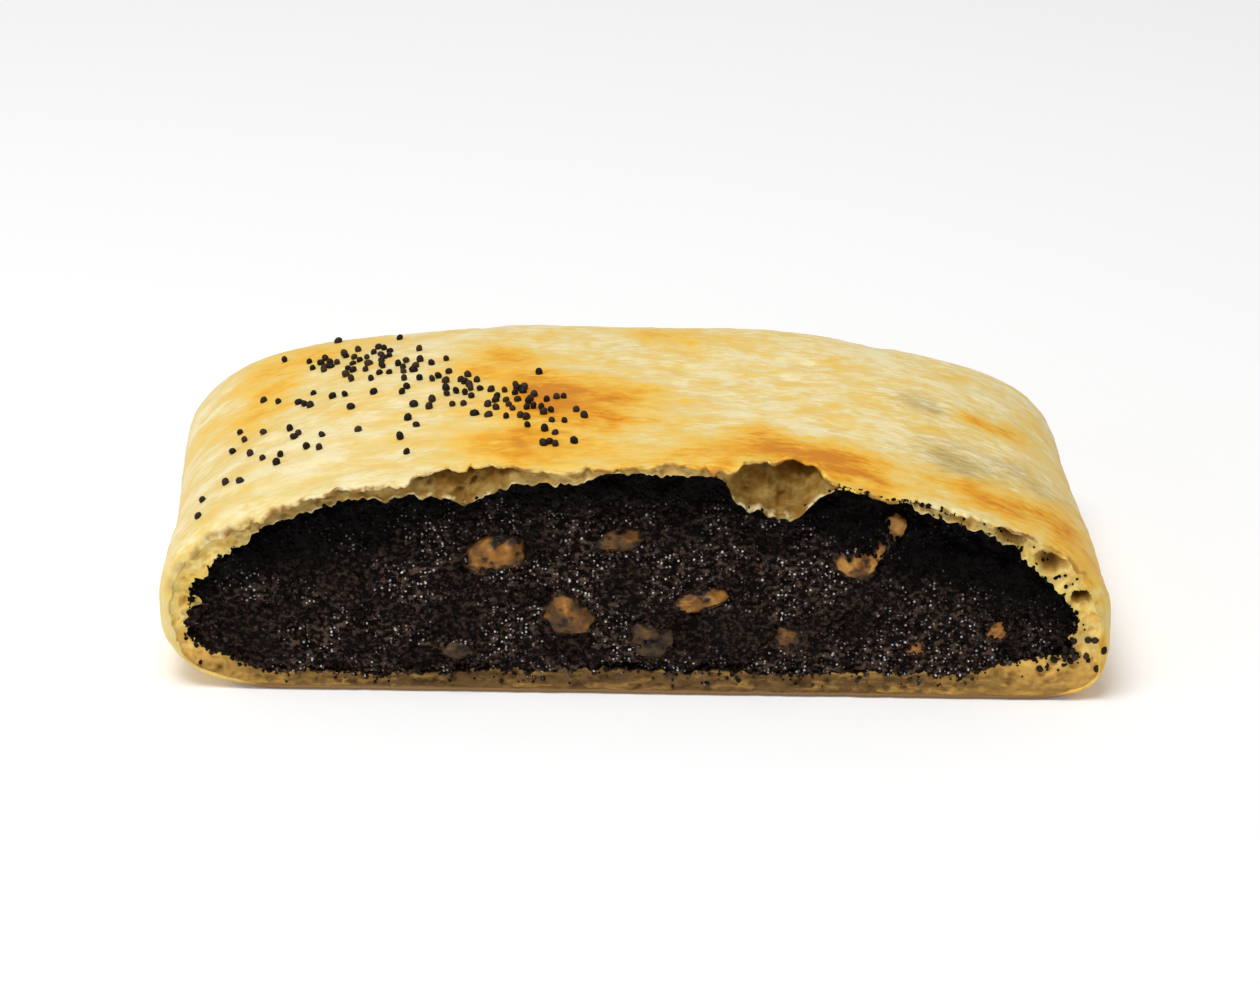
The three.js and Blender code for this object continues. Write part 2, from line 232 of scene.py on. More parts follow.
# %% How far the skin is torn back
BUBBLES = table("x half torn depth", (14.6, 4.7, 1.7, 1.6), (17.1, 2.3, 1.9, 1.2), (-17.5, 5.2, 1.6, 1.2))
HANGING = table("x half drop forward", (23.6, 3.8, 0.0, 0.3), (8.7, 1.8, 0.6, 0.9), (-26.5, 3.0, 0.35, 0.4))
TEARS = {"broad": (1.5, 4.4, 1.5), "middle": (1.0, 1.5, 2.5), "fine": (0.6, 0.55, 9.5)}
NICKS = {"layer": (1, 1.1, 33.5), "limits": (0.3, 0.7), "depth": 0.9}
WAVER = (0.6, 1.7, 4.5)
FLANK_TEAR = 0.12  # share of the raggedness that is left on the flanks
CROWN_EDGE = (-2, 6)  # heights above the waist over which the edge becomes the crown's
CALM_LEFT = (-42, -28)


def along_edge(angle, *layers):
    """Random heights along the cut edge, the sum of these layers of hills."""
    x, up = cut_outline(angle)
    points = np.stack([x, 0 * x, up], axis=-1)
    return sum(hills(points, *layer) for layer in layers)


def edge_place(angle):
    """Where the cut edge lies across, and how far it belongs to the crown."""
    x, up = cut_outline(angle)
    return x, smoothstep(up, *CROWN_EDGE)


def spots_sum(x, spots, key, power=6):
    """Sum of one measure of steep-sided spots along the edge."""
    return sum(spot[key] * hump(x - spot["x"], spot["half"], power) for spot in spots)


def broad_tear(angle):
    """How far behind the cut the skin ends, without the fine raggedness."""
    x, crown = edge_place(angle)
    broad = np.maximum(along_edge(angle, TEARS["broad"]), 0)
    wavy = x + along_edge(angle, WAVER)
    torn = spots_sum(wavy, BUBBLES, "torn") - spots_sum(wavy, HANGING, "forward")
    return lerp(FLANK_TEAR, 1, crown) * broad + crown * torn


def tear_depth(angle):
    """How far behind the cut the skin ends."""
    middle, fine = (np.maximum(along_edge(angle, TEARS[key]), 0) for key in ("middle", "fine"))
    nicks = NICKS["depth"] * smoothstep(along_edge(angle, NICKS["layer"]), *NICKS["limits"])
    x, crown = edge_place(angle)
    calm = lerp(FLANK_TEAR, 1, crown * smoothstep(x, *CALM_LEFT))
    return broad_tear(angle) + calm * (middle + fine + nicks)


print(f"skin is torn back by up to {tear_depth(skin_angles).max():.1f} mm")

# %% Where the torn skin sags, curls and turns in
SAG_REACH = 2.4
CURL = [(0.32, 1.9, 11.5), (0.2, 0.7, 13.5)]
CURL_START = 0.4
CURL_REACH = 1.1
FLANK_ROUND = {"sink": 1.3, "reach": 2.2}
FLANK_LIMITS = {"foot": (1.5 - WAIST, 5 - WAIST), "crown": (3, 9), "left": (-42, -31)}
FOLD = {"x": 23.9, "half": 4.3, "drop": 0.3}
FOLD_STEP = (2.9, 2.3)


def sag_behind(angle, depth):
    """How far the skin hangs down at a depth, or curls up where this is below zero."""
    x, crown = edge_place(angle)
    up = cut_outline(angle)[1]
    behind = depth - broad_tear(angle)
    drop = spots_sum(x, HANGING, "drop") * np.clip(1 - behind / SAG_REACH, 0, 1) ** 2
    curl = along_edge(angle, *CURL) * np.clip(1 - (behind - CURL_START) / CURL_REACH, 0, 1) ** 2
    fold = spots_sum(x, [FOLD], "drop") * smoothstep(behind, *FOLD_STEP)
    crown_right = smoothstep(up, *FLANK_LIMITS["crown"]) * smoothstep(x, *FLANK_LIMITS["left"])
    flank = smoothstep(up, *FLANK_LIMITS["foot"]) * (1 - crown_right)
    turn = 1 - np.sqrt(1 - np.clip(1 - behind / FLANK_ROUND["reach"], 0, 1) ** 2)
    return crown * (drop + curl + fold) + flank * FLANK_ROUND["sink"] * turn


print(f"skin sags by up to {sag_behind(skin_angles, tear_depth(skin_angles)).max():.1f} mm at its edge")

# %% [markdown]
# ## From rows to a mesh
#
# A loft joins each row of points to the next with quads and closes both ends with a fan to one point. The rows
# run from the inner end round the cut edge to the outer end, so each layer is one closed shell with no seam.


# %% Loft helpers
def add_object(name, data):
    """A new object in the scene, at the origin."""
    piece = bpy.data.objects.new(name, data)
    bpy.context.scene.collection.objects.link(piece)
    return piece


def add_mesh(name, points, faces, values=None):
    """A mesh object from points in millimetres, with its number attributes."""
    mesh = bpy.data.meshes.new(name)
    mesh.from_pydata(((points + CENTRE) * MM).tolist(), [], faces)
    mesh.shade_smooth()
    for key, numbers in (values or {}).items():
        attribute = mesh.attributes.new(key, "FLOAT", "POINT")
        attribute.data.foreach_set("value", np.asarray(numbers, dtype=np.float32))
    print(f"{name}: {len(mesh.vertices)} points, {len(mesh.polygons)} faces")
    return add_object(name, mesh)


def band_quads(corner):
    """Quads between the rows of a grid of point numbers that closes round."""
    ahead = np.roll(corner, -1, axis=1)
    return np.stack([corner[:-1], corner[1:], ahead[1:], ahead[:-1]], axis=-1).reshape(-1, 4).tolist()


def fan(tip, first, second):
    """Triangles from one point to the steps of a ring."""
    return np.stack([np.full(len(first), tip), first, second], axis=-1).tolist()


def loft(rings, first, last):
    """Points and faces of a closed surface through rings of equal count, with a point at each end."""
    points = np.concatenate([[first], rings.reshape(-1, 3), [last]])
    corner = 1 + np.arange(rings[..., 0].size).reshape(rings.shape[:2])
    start, end = corner[0], corner[-1]
    ends = fan(0, start, np.roll(start, -1)) + fan(len(points) - 1, np.roll(end, -1), end)
    return points, band_quads(corner) + ends


def with_ends(first, rows, last):
    """Numbers for all points of a loft, from those of its rows and of its two ends."""
    return np.concatenate([[first], rows.ravel(), [last]])


def end_depths(rows, length):
    """Depths of the rings that round off the closed end."""
    share = np.sin(np.arange(1, rows) / rows * np.pi / 2) ** (2 / END_ROUND["plan"])
    return length * lerp(END_START, 1, share)


print("four rows round the closed end off at", np.round(end_depths(5, LENGTH), 1), "mm")


# %% [markdown]
# ## The baked skin
#
# The skin is lofted as a thin shell: an outer face with all the relief, a rounded torn edge, and an inner face
# with few rows, because nobody sees it except along the edge.

# %% Rows of the skin
SKIN = 0.3
OUTER_ROWS = 82
OUTER_CROWDING = 1.35  # above 1 the rows lie closer near the torn edge
OUTER_END_ROWS = 32
BACK_DEPTHS = [10, 17, 26, 35]
BACK_END_ROWS = 7
BACK_SINK = 0.8
UNDER_SLOPE = 0.08
UNDER_SKIN = [0, 0.6, 1.2, 1.8, 2.4, 3.0, 4.0]  # depths behind the torn edge
LIP_FORWARD = 0.12
FINE_ROWS = (0, 3)  # rows over which the fine relief sets in


def outer_rows():
    """Rings on the outside, from the torn edge to the closed end."""
    edge, start = tear_depth(skin_angles), END_START * LENGTH
    depths = [lerp(edge, start, (row / OUTER_ROWS) ** OUTER_CROWDING) for row in range(OUTER_ROWS + 1)]
    depths += list(end_depths(OUTER_END_ROWS, LENGTH))
    return [skin_point(skin_angles, depth, 0, sag_behind(skin_angles, depth)) for depth in depths]


def rows_below(angle, inset, near):
    """Rings an inset below the skin, from its edge to the closed end, deeper where they are few."""
    edge = tear_depth(angle)
    deeper = inset + BACK_SINK
    rings = []
    for step in near:
        sag = sag_behind(angle, edge + step)
        rings.append(skin_point(angle, edge + step, inset + UNDER_SLOPE * step, sag))
    back = BACK_DEPTHS + list(end_depths(BACK_END_ROWS, LENGTH - deeper))
    return rings + [skin_point(angle, depth, deeper) for depth in back]


def with_fine_relief(rings):
    """Moves the outer rings along their own normals by the fine relief."""
    grid = np.array(rings)
    along = np.gradient(grid, axis=0)
    around = np.roll(grid, -1, axis=1) - np.roll(grid, 1, axis=1)
    normal = np.cross(around, along)
    normal /= np.maximum(np.linalg.norm(normal, axis=-1, keepdims=True), 1e-9)
    fade = smoothstep(np.arange(len(rings)), *FINE_ROWS)[:, None]
    return grid + normal * (fine_relief(grid) * fade)[..., None]


edge = tear_depth(skin_angles)
lip_ring = skin_point(skin_angles, edge - LIP_FORWARD, SKIN / 2, sag_behind(skin_angles, edge))
below_rings = rows_below(skin_angles, SKIN, UNDER_SKIN)[::-1]
skin_rings = np.array(below_rings + [lip_ring] + list(with_fine_relief(outer_rows())))
back_end = np.array([END_LEAN, LENGTH + FLAP["rise"], WAIST])
skin_points, skin_faces = loft(skin_rings, back_end - [0, SKIN + BACK_SINK, 0], back_end)
print(f"{len(skin_rings)} rows of skin")

# %% [markdown]
# ## Where the skin is brown
#
# The crust browned in patches where egg wash and heat gathered, and it is thin and greyish where the dark
# filling shows through. Each point gets numbers for this, stored as attributes, so that one material can mix
# its colours by them.

# %% Bake patches and thin patches, by place on the crust
BAKED = table(
    "x depth across along strength",
    (-16, 31, 5, 6, 0.5),
    (-5.5, 19, 7.5, 6.5, 0.58),
    (-11, 23, 4, 5, 0.4),
    (-12.5, 8.5, 6, 4, 0.55),
    (17, 7.5, 8.5, 4, 0.9),
    (-42.8, 31, 4, 8, 0.45),
    (-38.6, 43, 6, 5, 0.4),
    (37.8, 27, 3.2, 2, 0.6),
    (36.5, 6.5, 6.5, 3.5, 0.66),
    (45.5, 6, 3, 6, 0.25),
    (3, 42, 6, 4, 0.4),
    (22.6, 0, 5, 3, 0.45),
    (22.8, 3.6, 5, 1.1, 0.6),
    (7.6, 0, 3, 2, 0.6),
    (0, 3, 16, 5, 0.28),
    (-9, 16, 13, 12, 0.22),
    (44, 5, 8, 9, 0.18),
)
THIN = table(
    "x depth across along strength",
    (30.7, 26.4, 3, 3, 0.6),
    (34, 14, 7, 5, 0.62),
    (9.3, 24.7, 6, 4, 0.35),
    (43.5, 16, 4, 5, 0.45),
    (-45, 12, 6, 14, 0.35),
)
PATCH_WAVER = [(2.2, 5, 61.5), (2.2, 5, 71.5)]
PATCH_FOOT = (WAIST - 1, WAIST + 5)


def patches(point, places):
    """Sum of soft patches on the crown, with wavy edges."""
    x, depth = (axis + hills(point, *layer) for axis, layer in zip(axes(point), PATCH_WAVER))
    total = 0
    for spot in places:
        near = hump(x - spot["x"], spot["across"]) * hump(depth - spot["depth"], spot["along"])
        total = total + spot["strength"] * near
    return total * smoothstep(point[:, 2], *PATCH_FOOT)


print(f"{len(BAKED)} brown patches and {len(THIN)} thin ones")

# %% Numbers for the skin's finish
BAKE_CLOUD = (0.5, (13, 9, 9), 81.5)
BAKED_ZONES = table(
    "axis from to cloudy even",
    (2, 5, 0, 0.5, 0),  # the foot
    (2, 15, 7, 0, 0.1),  # the flanks
    (1, LENGTH - 7, LENGTH, 0.35, 0.1),  # the closed end
    (0, 38, 48, 0, 0.14),  # the right
)
SOLE_EDGE = (1.1, 0.3)
RIM_ROWS = [1, 1, 0.7, 0.3]
RIM_FOOT = (10, 18)
LEAST_RIM = 0.2


def skin_values(point):
    """Browning, thinness, sole and torn rim at each point of the skin."""
    zones = [(zone, smoothstep(point[:, zone["axis"]], zone["from"], zone["to"])) for zone in BAKED_ZONES]
    cloudy, even = (sum(zone[key] * share for zone, share in zones) for key in ("cloudy", "even"))
    # The rim number paints the skin's underside and its torn lip brown. This is partly a browned edge and partly
    # painted shade under the torn skin, and it is stronger towards the crown.
    rim = np.zeros(skin_rings.shape[:2])
    rim[: len(below_rings)] = 1
    rim[len(below_rings) :][: len(RIM_ROWS)] = np.array(RIM_ROWS)[:, None]
    return {
        "browning": patches(point, BAKED) + cloudy * (0.5 + hills(point, *BAKE_CLOUD)) + even,
        "thin": patches(point, THIN),
        "sole": smoothstep(point[:, 2], *SOLE_EDGE),
        "rim": with_ends(1, rim, 0) * lerp(LEAST_RIM, 1, smoothstep(point[:, 2], *RIM_FOOT)),
    }


skin = add_mesh("crust_skin", skin_points, skin_faces, skin_values(skin_points))

# %% [markdown]
# ## The open crumb
#
# Below the skin the dough is a crumb full of gas bubbles. The cut opens them, so the edge is a band of pits
# with thin walls between. Each bubble is a ball at a random place in the band, and a point inside a ball is
# pushed back to its far wall. Seven large ones, most of them on the right, have places of their own. The crust
# is thick at the sides and under the crown's two bubbles, thin elsewhere, and has a notch at the left.

# %% Thickness of the crust and its inside
CRUST = {"crown": 1.6, "foot": 2.4, "left": 2.5, "right": 4.0, "end": 2.6}
TONGUES = table("x left right extra", (-17.4, 5.5, 3.5, 1.9), (16.3, 3.4, 1.4, 1.3))
CROWN_FLATS = table("x half extra", (14.4, 4.8, 2.2), (2.5, 7.5, -1.05), (25, 5.4, -1.0), (-44, 5, 0.9))
FOOT_FLATS = table("x half extra", (-28, 11, -0.8))
FOOT_CORNER = table("x half extra", (41.5, 6, 1.8))
GENTLE, STEEP = 1.4, 3  # powers of a tongue's two sides
FLANK_SHARE = 0.72  # share of the half width where the flank begins
CROWN_TO_FOOT = (-4, 6)
CROWN_EXTRA = (0, 6)
FOOT_EXTRA = (0, -5)
THICK_FADE = 8
RAGGED = [(0.6, 3.1, 5.5), (0.6, 1.2, 8.5), (0.5, 0.5, 7.5)]
RAGGED_FADE = 2
LEAST_CRUST = 0.55


def tongue(offset, left, right):
    """A hanging shape that runs out gently on its left and steeply on its right."""
    return np.where(offset < 0, hump(offset, left, GENTLE), hump(offset, right, STEEP))


def thickness(section, depth):
    """Thickness of the crust round the section."""
    x, up = section[..., 0], section[..., 1]
    flank = smoothstep(np.abs(x), FLANK_SHARE * WIDTH / 2, WIDTH / 2)
    middle = lerp(CRUST["foot"], CRUST["crown"], smoothstep(up, *CROWN_TO_FOOT))
    side = np.where(x < 0, CRUST["left"], CRUST["right"])
    crown = sum(spot["extra"] * tongue(x - spot["x"], spot["left"], spot["right"]) for spot in TONGUES)
    crown = crown + spots_sum(x, CROWN_FLATS, "extra")
    foot = spots_sum(x, FOOT_CORNER, "extra", 2) + spots_sum(x, FOOT_FLATS, "extra")
    extra = crown * smoothstep(up, *CROWN_EXTRA) + foot * smoothstep(up, *FOOT_EXTRA)
    return lerp(middle, side, flank) + extra * np.exp(-depth / THICK_FADE)


def inner_point(angle, depth, clearance):
    """Points on the inside of the crust, or a clearance further in. Behind the cut its raggedness dies away."""
    section = outline(angle, depth)
    ragged = along_edge(angle, *RAGGED) * np.exp(-np.maximum(depth, 0) / RAGGED_FADE)
    inset = np.maximum(thickness(section, depth) + ragged, LEAST_CRUST) + clearance
    section = section - outward(angle, depth) * inset[..., None]
    return place(section, depth, LENGTH - CRUST["end"] - clearance)


cut_thickness = thickness(outline(crumb_angles, 0.0), 0.0)
print(f"crust is {cut_thickness.min():.1f} to {cut_thickness.max():.1f} mm thick at the cut")

# %% The smooth band across the torn edge
EDGE_ROWS = 36
CRUMB_INSET = 0.17
CRUMB_BACK = 0.1
INNER_EDGE = 0.45
INNER_WAVER = (0.35, 2.2, 6.5)
NOTCH = {"up": 1.2, "half": 0.9, "reach": 1.4}


def edge_band():
    """Points across the edge without its pits, from the skin to the inside."""
    edge = tear_depth(crumb_angles)
    outer = skin_point(crumb_angles, edge + CRUMB_BACK, CRUMB_INSET, sag_behind(crumb_angles, edge))
    x, up = cut_outline(crumb_angles)
    notch = NOTCH["reach"] * hump(up - NOTCH["up"], NOTCH["half"]) * (x < 0)
    inner = inner_point(crumb_angles, INNER_EDGE + along_edge(crumb_angles, INNER_WAVER), notch)
    return lerp(outer, inner, np.linspace(0, 1, EDGE_ROWS + 1)[:, None, None])


smooth_band = edge_band()
print(f"{EDGE_ROWS + 1} rows across the edge")

# %% Open bubbles and caves in the band
BIG_PITS = table(
    "x z wide high depth",
    (39.0, 18.9, 1.9, 1.4, 2.2),
    (43.2, 15.6, 1.7, 1.35, 2.2),
    (46.6, 11.6, 1.1, 0.85, 3.2),
    (36.0, 18.7, 1.0, 0.55, 2.4),
    (33.4, 20.6, 1.0, 0.6, 0.8),
    (-16.7, 23.0, 0.55, 0.35, 1.0),
    (-21.4, 23.4, 0.5, 0.3, 0.7),
)
PIT_WAVER = {"x": (0.6, 1.3, 51.5), "z": (0.6, 1.3, 57.5)}
SMALL_PITS = {"count": 520, "least": 0.1, "most": 0.5, "depth": 0.9, "seed": 12}
PIT_SHARE = {"wide": 2.4, "most": 1.4}  # a band this wide has pits of full size, and wider ones up to the most
EDGE_ROUGH = {"mean": 0.25, "layers": [(0.45, (1.3, 2, 1.3), 12.5), (0.28, (0.5, 2, 0.5), 15.5)]}
CAVE_FORM = {"depth": 1.1, "lip": (0, 0.14), "slope": 1.3, "foot": (WAIST, WAIST + 4)}


def open_bubbles(band):
    """How deep the open bubbles are at each point of the edge."""
    draw = np.random.default_rng(SMALL_PITS["seed"])
    x, _, z = axes(band)
    wide = np.linalg.norm(band[-1] - band[0], axis=-1)
    pits = np.zeros_like(x)
    for _ in range(SMALL_PITS["count"]):
        row, column = draw.integers(2, EDGE_ROWS - 1), draw.integers(0, x.shape[1])
        radius = lerp(SMALL_PITS["least"], SMALL_PITS["most"], draw.random() ** 2)
        radius = radius * min(PIT_SHARE["most"], wide[column] / PIT_SHARE["wide"])
        gone = (x - x[row, column]) ** 2 + (z - z[row, column]) ** 2
        pits = np.maximum(pits, SMALL_PITS["depth"] * np.sqrt(np.maximum(radius**2 - gone, 0)))
    wavy_x, wavy_z = x + hills(band, *PIT_WAVER["x"]), z + hills(band, *PIT_WAVER["z"])
    for pit in BIG_PITS:
        gone = ((wavy_x - pit["x"]) / pit["wide"]) ** 2 + ((wavy_z - pit["z"]) / pit["high"]) ** 2
        pits = np.maximum(pits, pit["depth"] * np.sqrt(np.maximum(1 - gone, 0)))
    return pits


def hollow_edge(band):
    """How far each point of the edge is pushed back by pits, caves and roughness."""
    share = np.linspace(0, 1, EDGE_ROWS + 1)[:, None]
    rim = np.sin(np.pi * share) ** 0.5
    rough = EDGE_ROUGH["mean"] + sum(hills(band, *layer) for layer in EDGE_ROUGH["layers"])
    crown = smoothstep(band[..., 2], *CAVE_FORM["foot"])
    across = smoothstep(share, *CAVE_FORM["lip"]) * (1 - share) ** CAVE_FORM["slope"]
    caves = CAVE_FORM["depth"] * crown * spots_sum(band[..., 0], BUBBLES, "depth") * across
    return (rough + open_bubbles(band)) * rim + caves


band_hollow = hollow_edge(smooth_band)
band_rings = smooth_band + band_hollow[..., None] * [0, 1, 0]
print(f"pits in the crumb are up to {band_hollow.max():.1f} mm deep")

# %% [markdown]
# The crumb's shell runs from the inside, across the edge, to just under the skin. It also gets numbers: how
# hollow it is, which also sets painted shade in its pits, where the filling stained it, how far fat and juice
# soaked it near the sole, where the crown's crumb takes a tan tint that is partly painted shade, where torn skin
# shades it, and where a pale border meets the filling.

# %% Loft of the crumb
INNER_DEPTHS = [1.0, 2.0, 3.4, 5.5, 9, 16, 26, 35]
UNDER_CRUMB = [0.5, *UNDER_SKIN[2:]]
BORDER_ROWS = [1, 1, 0.8, 0.6, 0.3]
BORDER_FOOT = (9, 15)
UNDER_ROWS = 14
UNDER_TEAR = (0.4, 1.4)
# Spots along the crown where the crumb takes a tan tint, in and beside the opened bubbles. The tint is partly
# stained dough and partly painted shade, and its shade column sets the strength.
CROWN_TAN_SPOTS = table("x half shade", (14.6, 7, 1), (-28, 20, 0.65), (-17.5, 6.5, 0.4))
CAVE_FOOT = (15, 19)
SOAK = {"height": (4.5, 1.5), "middle": (49, 15), "left": 0.5, "right": 0.45}


def inner_rows(angle, clearance, depths):
    """Rings at these depths and on to the closed end, on the inside of the crust, and the point that ends them."""
    length = LENGTH - CRUST["end"] - clearance
    depths = depths + list(end_depths(BACK_END_ROWS, length))
    rings = [inner_point(angle, depth, clearance) for depth in depths]
    return rings, place(np.zeros(2), length, length)


def crumb_values(point, inside):
    """The numbers of the crumb's finish at each point, where so many rows come before the edge."""
    x, _, z = axes(point)
    hollow, stain, under, border = np.zeros((4, *crumb_rings.shape[:2]))
    band = slice(inside, inside + EDGE_ROWS + 1)
    hollow[:inside] = stain[:inside] = 1
    hollow[band] = band_hollow[::-1]
    shaded = smoothstep(broad_tear(crumb_angles), *UNDER_TEAR)
    under[band][-UNDER_ROWS:] = np.linspace(0, 1, UNDER_ROWS)[:, None] * shaded
    border[band][: len(BORDER_ROWS)] = np.array(BORDER_ROWS)[:, None]
    sides = np.where(x < 0, SOAK["left"], SOAK["right"])
    return {
        "hollow": with_ends(1, hollow, 0),
        "stain": with_ends(1, stain, 0),
        "soaked": smoothstep(z, *SOAK["height"]) * lerp(sides, 1, smoothstep(np.abs(x), *SOAK["middle"])),
        # Tan tint under the crown: partly stained dough, partly painted shade.
        "cave": spots_sum(x, CROWN_TAN_SPOTS, "shade", 4) * smoothstep(z, *CAVE_FOOT),
        "under": with_ends(0, under, 0),
        "border": with_ends(0, border, 0) * smoothstep(z, *BORDER_FOOT),
    }


inside_rings, inner_end = inner_rows(crumb_angles, 0, INNER_DEPTHS)
under_rings = rows_below(crumb_angles, CRUMB_INSET, UNDER_CRUMB)
crumb_rings = np.concatenate([inside_rings[::-1], band_rings[::-1], under_rings])
crumb_points, crumb_faces = loft(crumb_rings, inner_end, back_end - [0, CRUMB_INSET + BACK_SINK, 0])
crumb = add_mesh("crust_crumb", crumb_points, crumb_faces, crumb_values(crumb_points, len(inside_rings)))

# %% [markdown]
# ## The filling
#
# Ground poppy seed cooked with milk and sugar is a dark, moist crumble. Its body fills the crust with a small
# gap. At the cut its face is a grid of columns between the crust's upper and lower inside edge, pushed in and
# out by lumps, and hollowed under the crown, where it shrank away. The fine crumble on it comes afterwards, as
# loose grains.

# %% Face of the filling
FACE_DEPTH = {"foot": 0.7, "crown": 3.1}
FACE_HOLLOW = (9, HEIGHT - 3)
LEAST_DEPTH = {"edge": 0.2, "face": 0.1}
LUMPS = [(0.9, 4.2, 21.5), (0.8, 1.9, 25.5), (0.45, 0.9, 29.5)]
FACE_COLUMNS = 300
FACE_ROWS = 60
FILLING_GAP = 0.15


def face_depth(x, z):
    """Depth of the filling's face behind the cut plane."""
    spot = np.stack(np.broadcast_arrays(x, 0.0, z), axis=-1)
    hollow = lerp(FACE_DEPTH["foot"], FACE_DEPTH["crown"], smoothstep(z, *FACE_HOLLOW))
    return hollow + sum(hills(spot, *lump) for lump in LUMPS)


def face_ring():
    """Angles round the inside edge, at the same places across on its upper and on its lower half."""
    across = inner_point(crumb_angles, 0.0, FILLING_GAP)[:, 0]
    order = np.roll(np.arange(len(across)), -across.argmax())
    split = int(np.where(order == across.argmin())[0][0])
    turn, across = np.unwrap(crumb_angles[order]), across[order]
    spread = 0.5 + 0.5 * np.cos(np.linspace(0, np.pi, FACE_COLUMNS + 1))
    x = lerp(across.min(), across.max(), spread)
    upper = np.interp(-x, np.maximum.accumulate(-across[: split + 1]), turn[: split + 1])
    lower = np.interp(x, np.maximum.accumulate(across[split:]), turn[split:])
    return np.concatenate([upper, lower[-2:0:-1]])


ring_angles = face_ring()
ring_x, _, ring_z = axes(inner_point(ring_angles, 0.0, FILLING_GAP))
ring_depth = np.maximum(face_depth(ring_x, ring_z), LEAST_DEPTH["edge"])
print(f"the filling lies up to {ring_depth.max():.1f} mm behind the cut")


# %% Body of the filling
def filling_mesh():
    """The face as a grid between the edges, and the body as rings behind it."""
    count = FACE_COLUMNS + 1
    start = inner_point(ring_angles, ring_depth, FILLING_GAP)
    top = start[:count]
    foot = np.concatenate([top[:1], start[count:][::-1], top[-1:]])
    face = lerp(top, foot, np.linspace(0, 1, FACE_ROWS + 1)[:, None, None])
    inner = face[1:-1, 1:-1]
    inner[..., 1] = np.maximum(face_depth(inner[..., 0], inner[..., 2]), LEAST_DEPTH["face"])
    behind, last = inner_rows(ring_angles, FILLING_GAP, INNER_DEPTHS[4:])
    rings = np.array([start, *behind])
    points = np.concatenate([rings.reshape(-1, 3), inner.reshape(-1, 3), [last]])
    corner = np.arange(rings[..., 0].size).reshape(rings.shape[:2])
    body = band_quads(corner) + fan(len(points) - 1, np.roll(corner[-1], -1), corner[-1])
    grid = np.empty((FACE_ROWS + 1, count), int)
    grid[0] = corner[0, :count]
    grid[-1] = np.concatenate([[corner[0, 0]], corner[0, count:][::-1], [corner[0, count - 1]]])
    grid[1:-1, 0], grid[1:-1, -1] = grid[0, 0], grid[0, -1]
    grid[1:-1, 1:-1] = corner.size + np.arange(inner[..., 0].size).reshape(inner.shape[:2])
    cells = np.stack([grid[:-1, :-1], grid[:-1, 1:], grid[1:, 1:], grid[1:, :-1]], axis=-1).reshape(-1, 4)
    cells = [list(dict.fromkeys(cell)) for cell in cells.tolist()]
    return points, body, [cell for cell in cells if len(cell) > 2]


filling_points, body_faces, face_cells = filling_mesh()
filling = add_mesh("filling_core", filling_points, body_faces + face_cells)

# %% [markdown]
# ## Walnut pieces
#
# Chopped walnut sits in the filling, cut through or half bedded. Each piece starts as a fine sphere, gets
# lobes and the wrinkles of a kernel, and takes its own size, slant and place from the list. One has its lower
# end drawn out to a tail. Each point notes how deep it is bedded, for the rind and the smears.

# %% Walnuts in the cut face
WALNUTS = table(
    "x z breadth height slant light tail",
    (-14.6, 15, 7.2, 4.8, 20, 0.75, 0),
    (-2.2, 16.6, 7, 2.8, 10, 0.2, 0),
    (-7.1, 8.8, 5.2, 4.2, -15, 0.45, 0),
    (6.2, 10.5, 7, 2.6, 5, 0.75, 0),
    (22.6, 14.2, 6.8, 3.7, -4, 1.05, 0),
    (26.6, 18, 4.3, 2.8, 60, 0.95, 0.9),
    (37.7, 7.4, 2.8, 2.2, 0, 0.9, 0),
    (-18.8, 4.9, 3.7, 2.2, 8, -0.3, 0),
    (1.7, 5.9, 5.3, 4.2, -10, -0.15, 0),
    (16.5, 6.3, 4.4, 4.2, 25, 0.2, 0),
    (29.6, 5.6, 3.4, 2.5, 70, 0.85, 0),
)
print(len(WALNUTS), "walnut pieces show")

# %% Shape of a walnut piece
WALNUT_DEPTH = {"share": 0.7, "least": 3}
WALNUT_SUNK = 0.3
WALNUT_PROUD = 0.28
WALNUT_LOBES = {"height": 0.3, "size": 0.9}
WALNUT_WRINKLES = {"height": 0.12, "size": 0.4}


def walnut_points(index, walnut):
    """Points and faces of a wrinkled lump, half bedded in the face of the filling."""
    bpy.ops.mesh.primitive_ico_sphere_add(subdivisions=5, radius=1)
    ball = bpy.context.object
    points = np.array([corner.co for corner in ball.data.vertices])
    faces = [list(face.vertices) for face in ball.data.polygons]
    bpy.data.objects.remove(ball)
    lobes = hills(points, **WALNUT_LOBES, seed=3.7 * index + 1)
    wrinkles = WALNUT_WRINKLES["height"] - 2 * np.abs(hills(points, **WALNUT_WRINKLES, seed=5.3 * index + 2))
    depth = max(WALNUT_DEPTH["least"], WALNUT_DEPTH["share"] * walnut["breadth"])
    points = points * (1 + lobes + wrinkles)[:, None]
    points[:, 0] *= np.where(points[:, 0] < 0, 1 + walnut["tail"], 1)
    points = points * np.array([walnut["breadth"], depth, walnut["height"]]) / 2
    slant = math.radians(walnut["slant"])
    turn = np.array([[math.cos(slant), 0, -math.sin(slant)], [0, 1, 0], [math.sin(slant), 0, math.cos(slant)]])
    seat = float(face_depth(np.array(walnut["x"]), np.array(walnut["z"]))) + WALNUT_SUNK * depth
    return points @ turn.T + [walnut["x"], seat, walnut["z"]], faces


def proud_of_face(points):
    """How far points stand out of the filling's face."""
    return face_depth(points[:, 0], points[:, 2]) - points[:, 1]


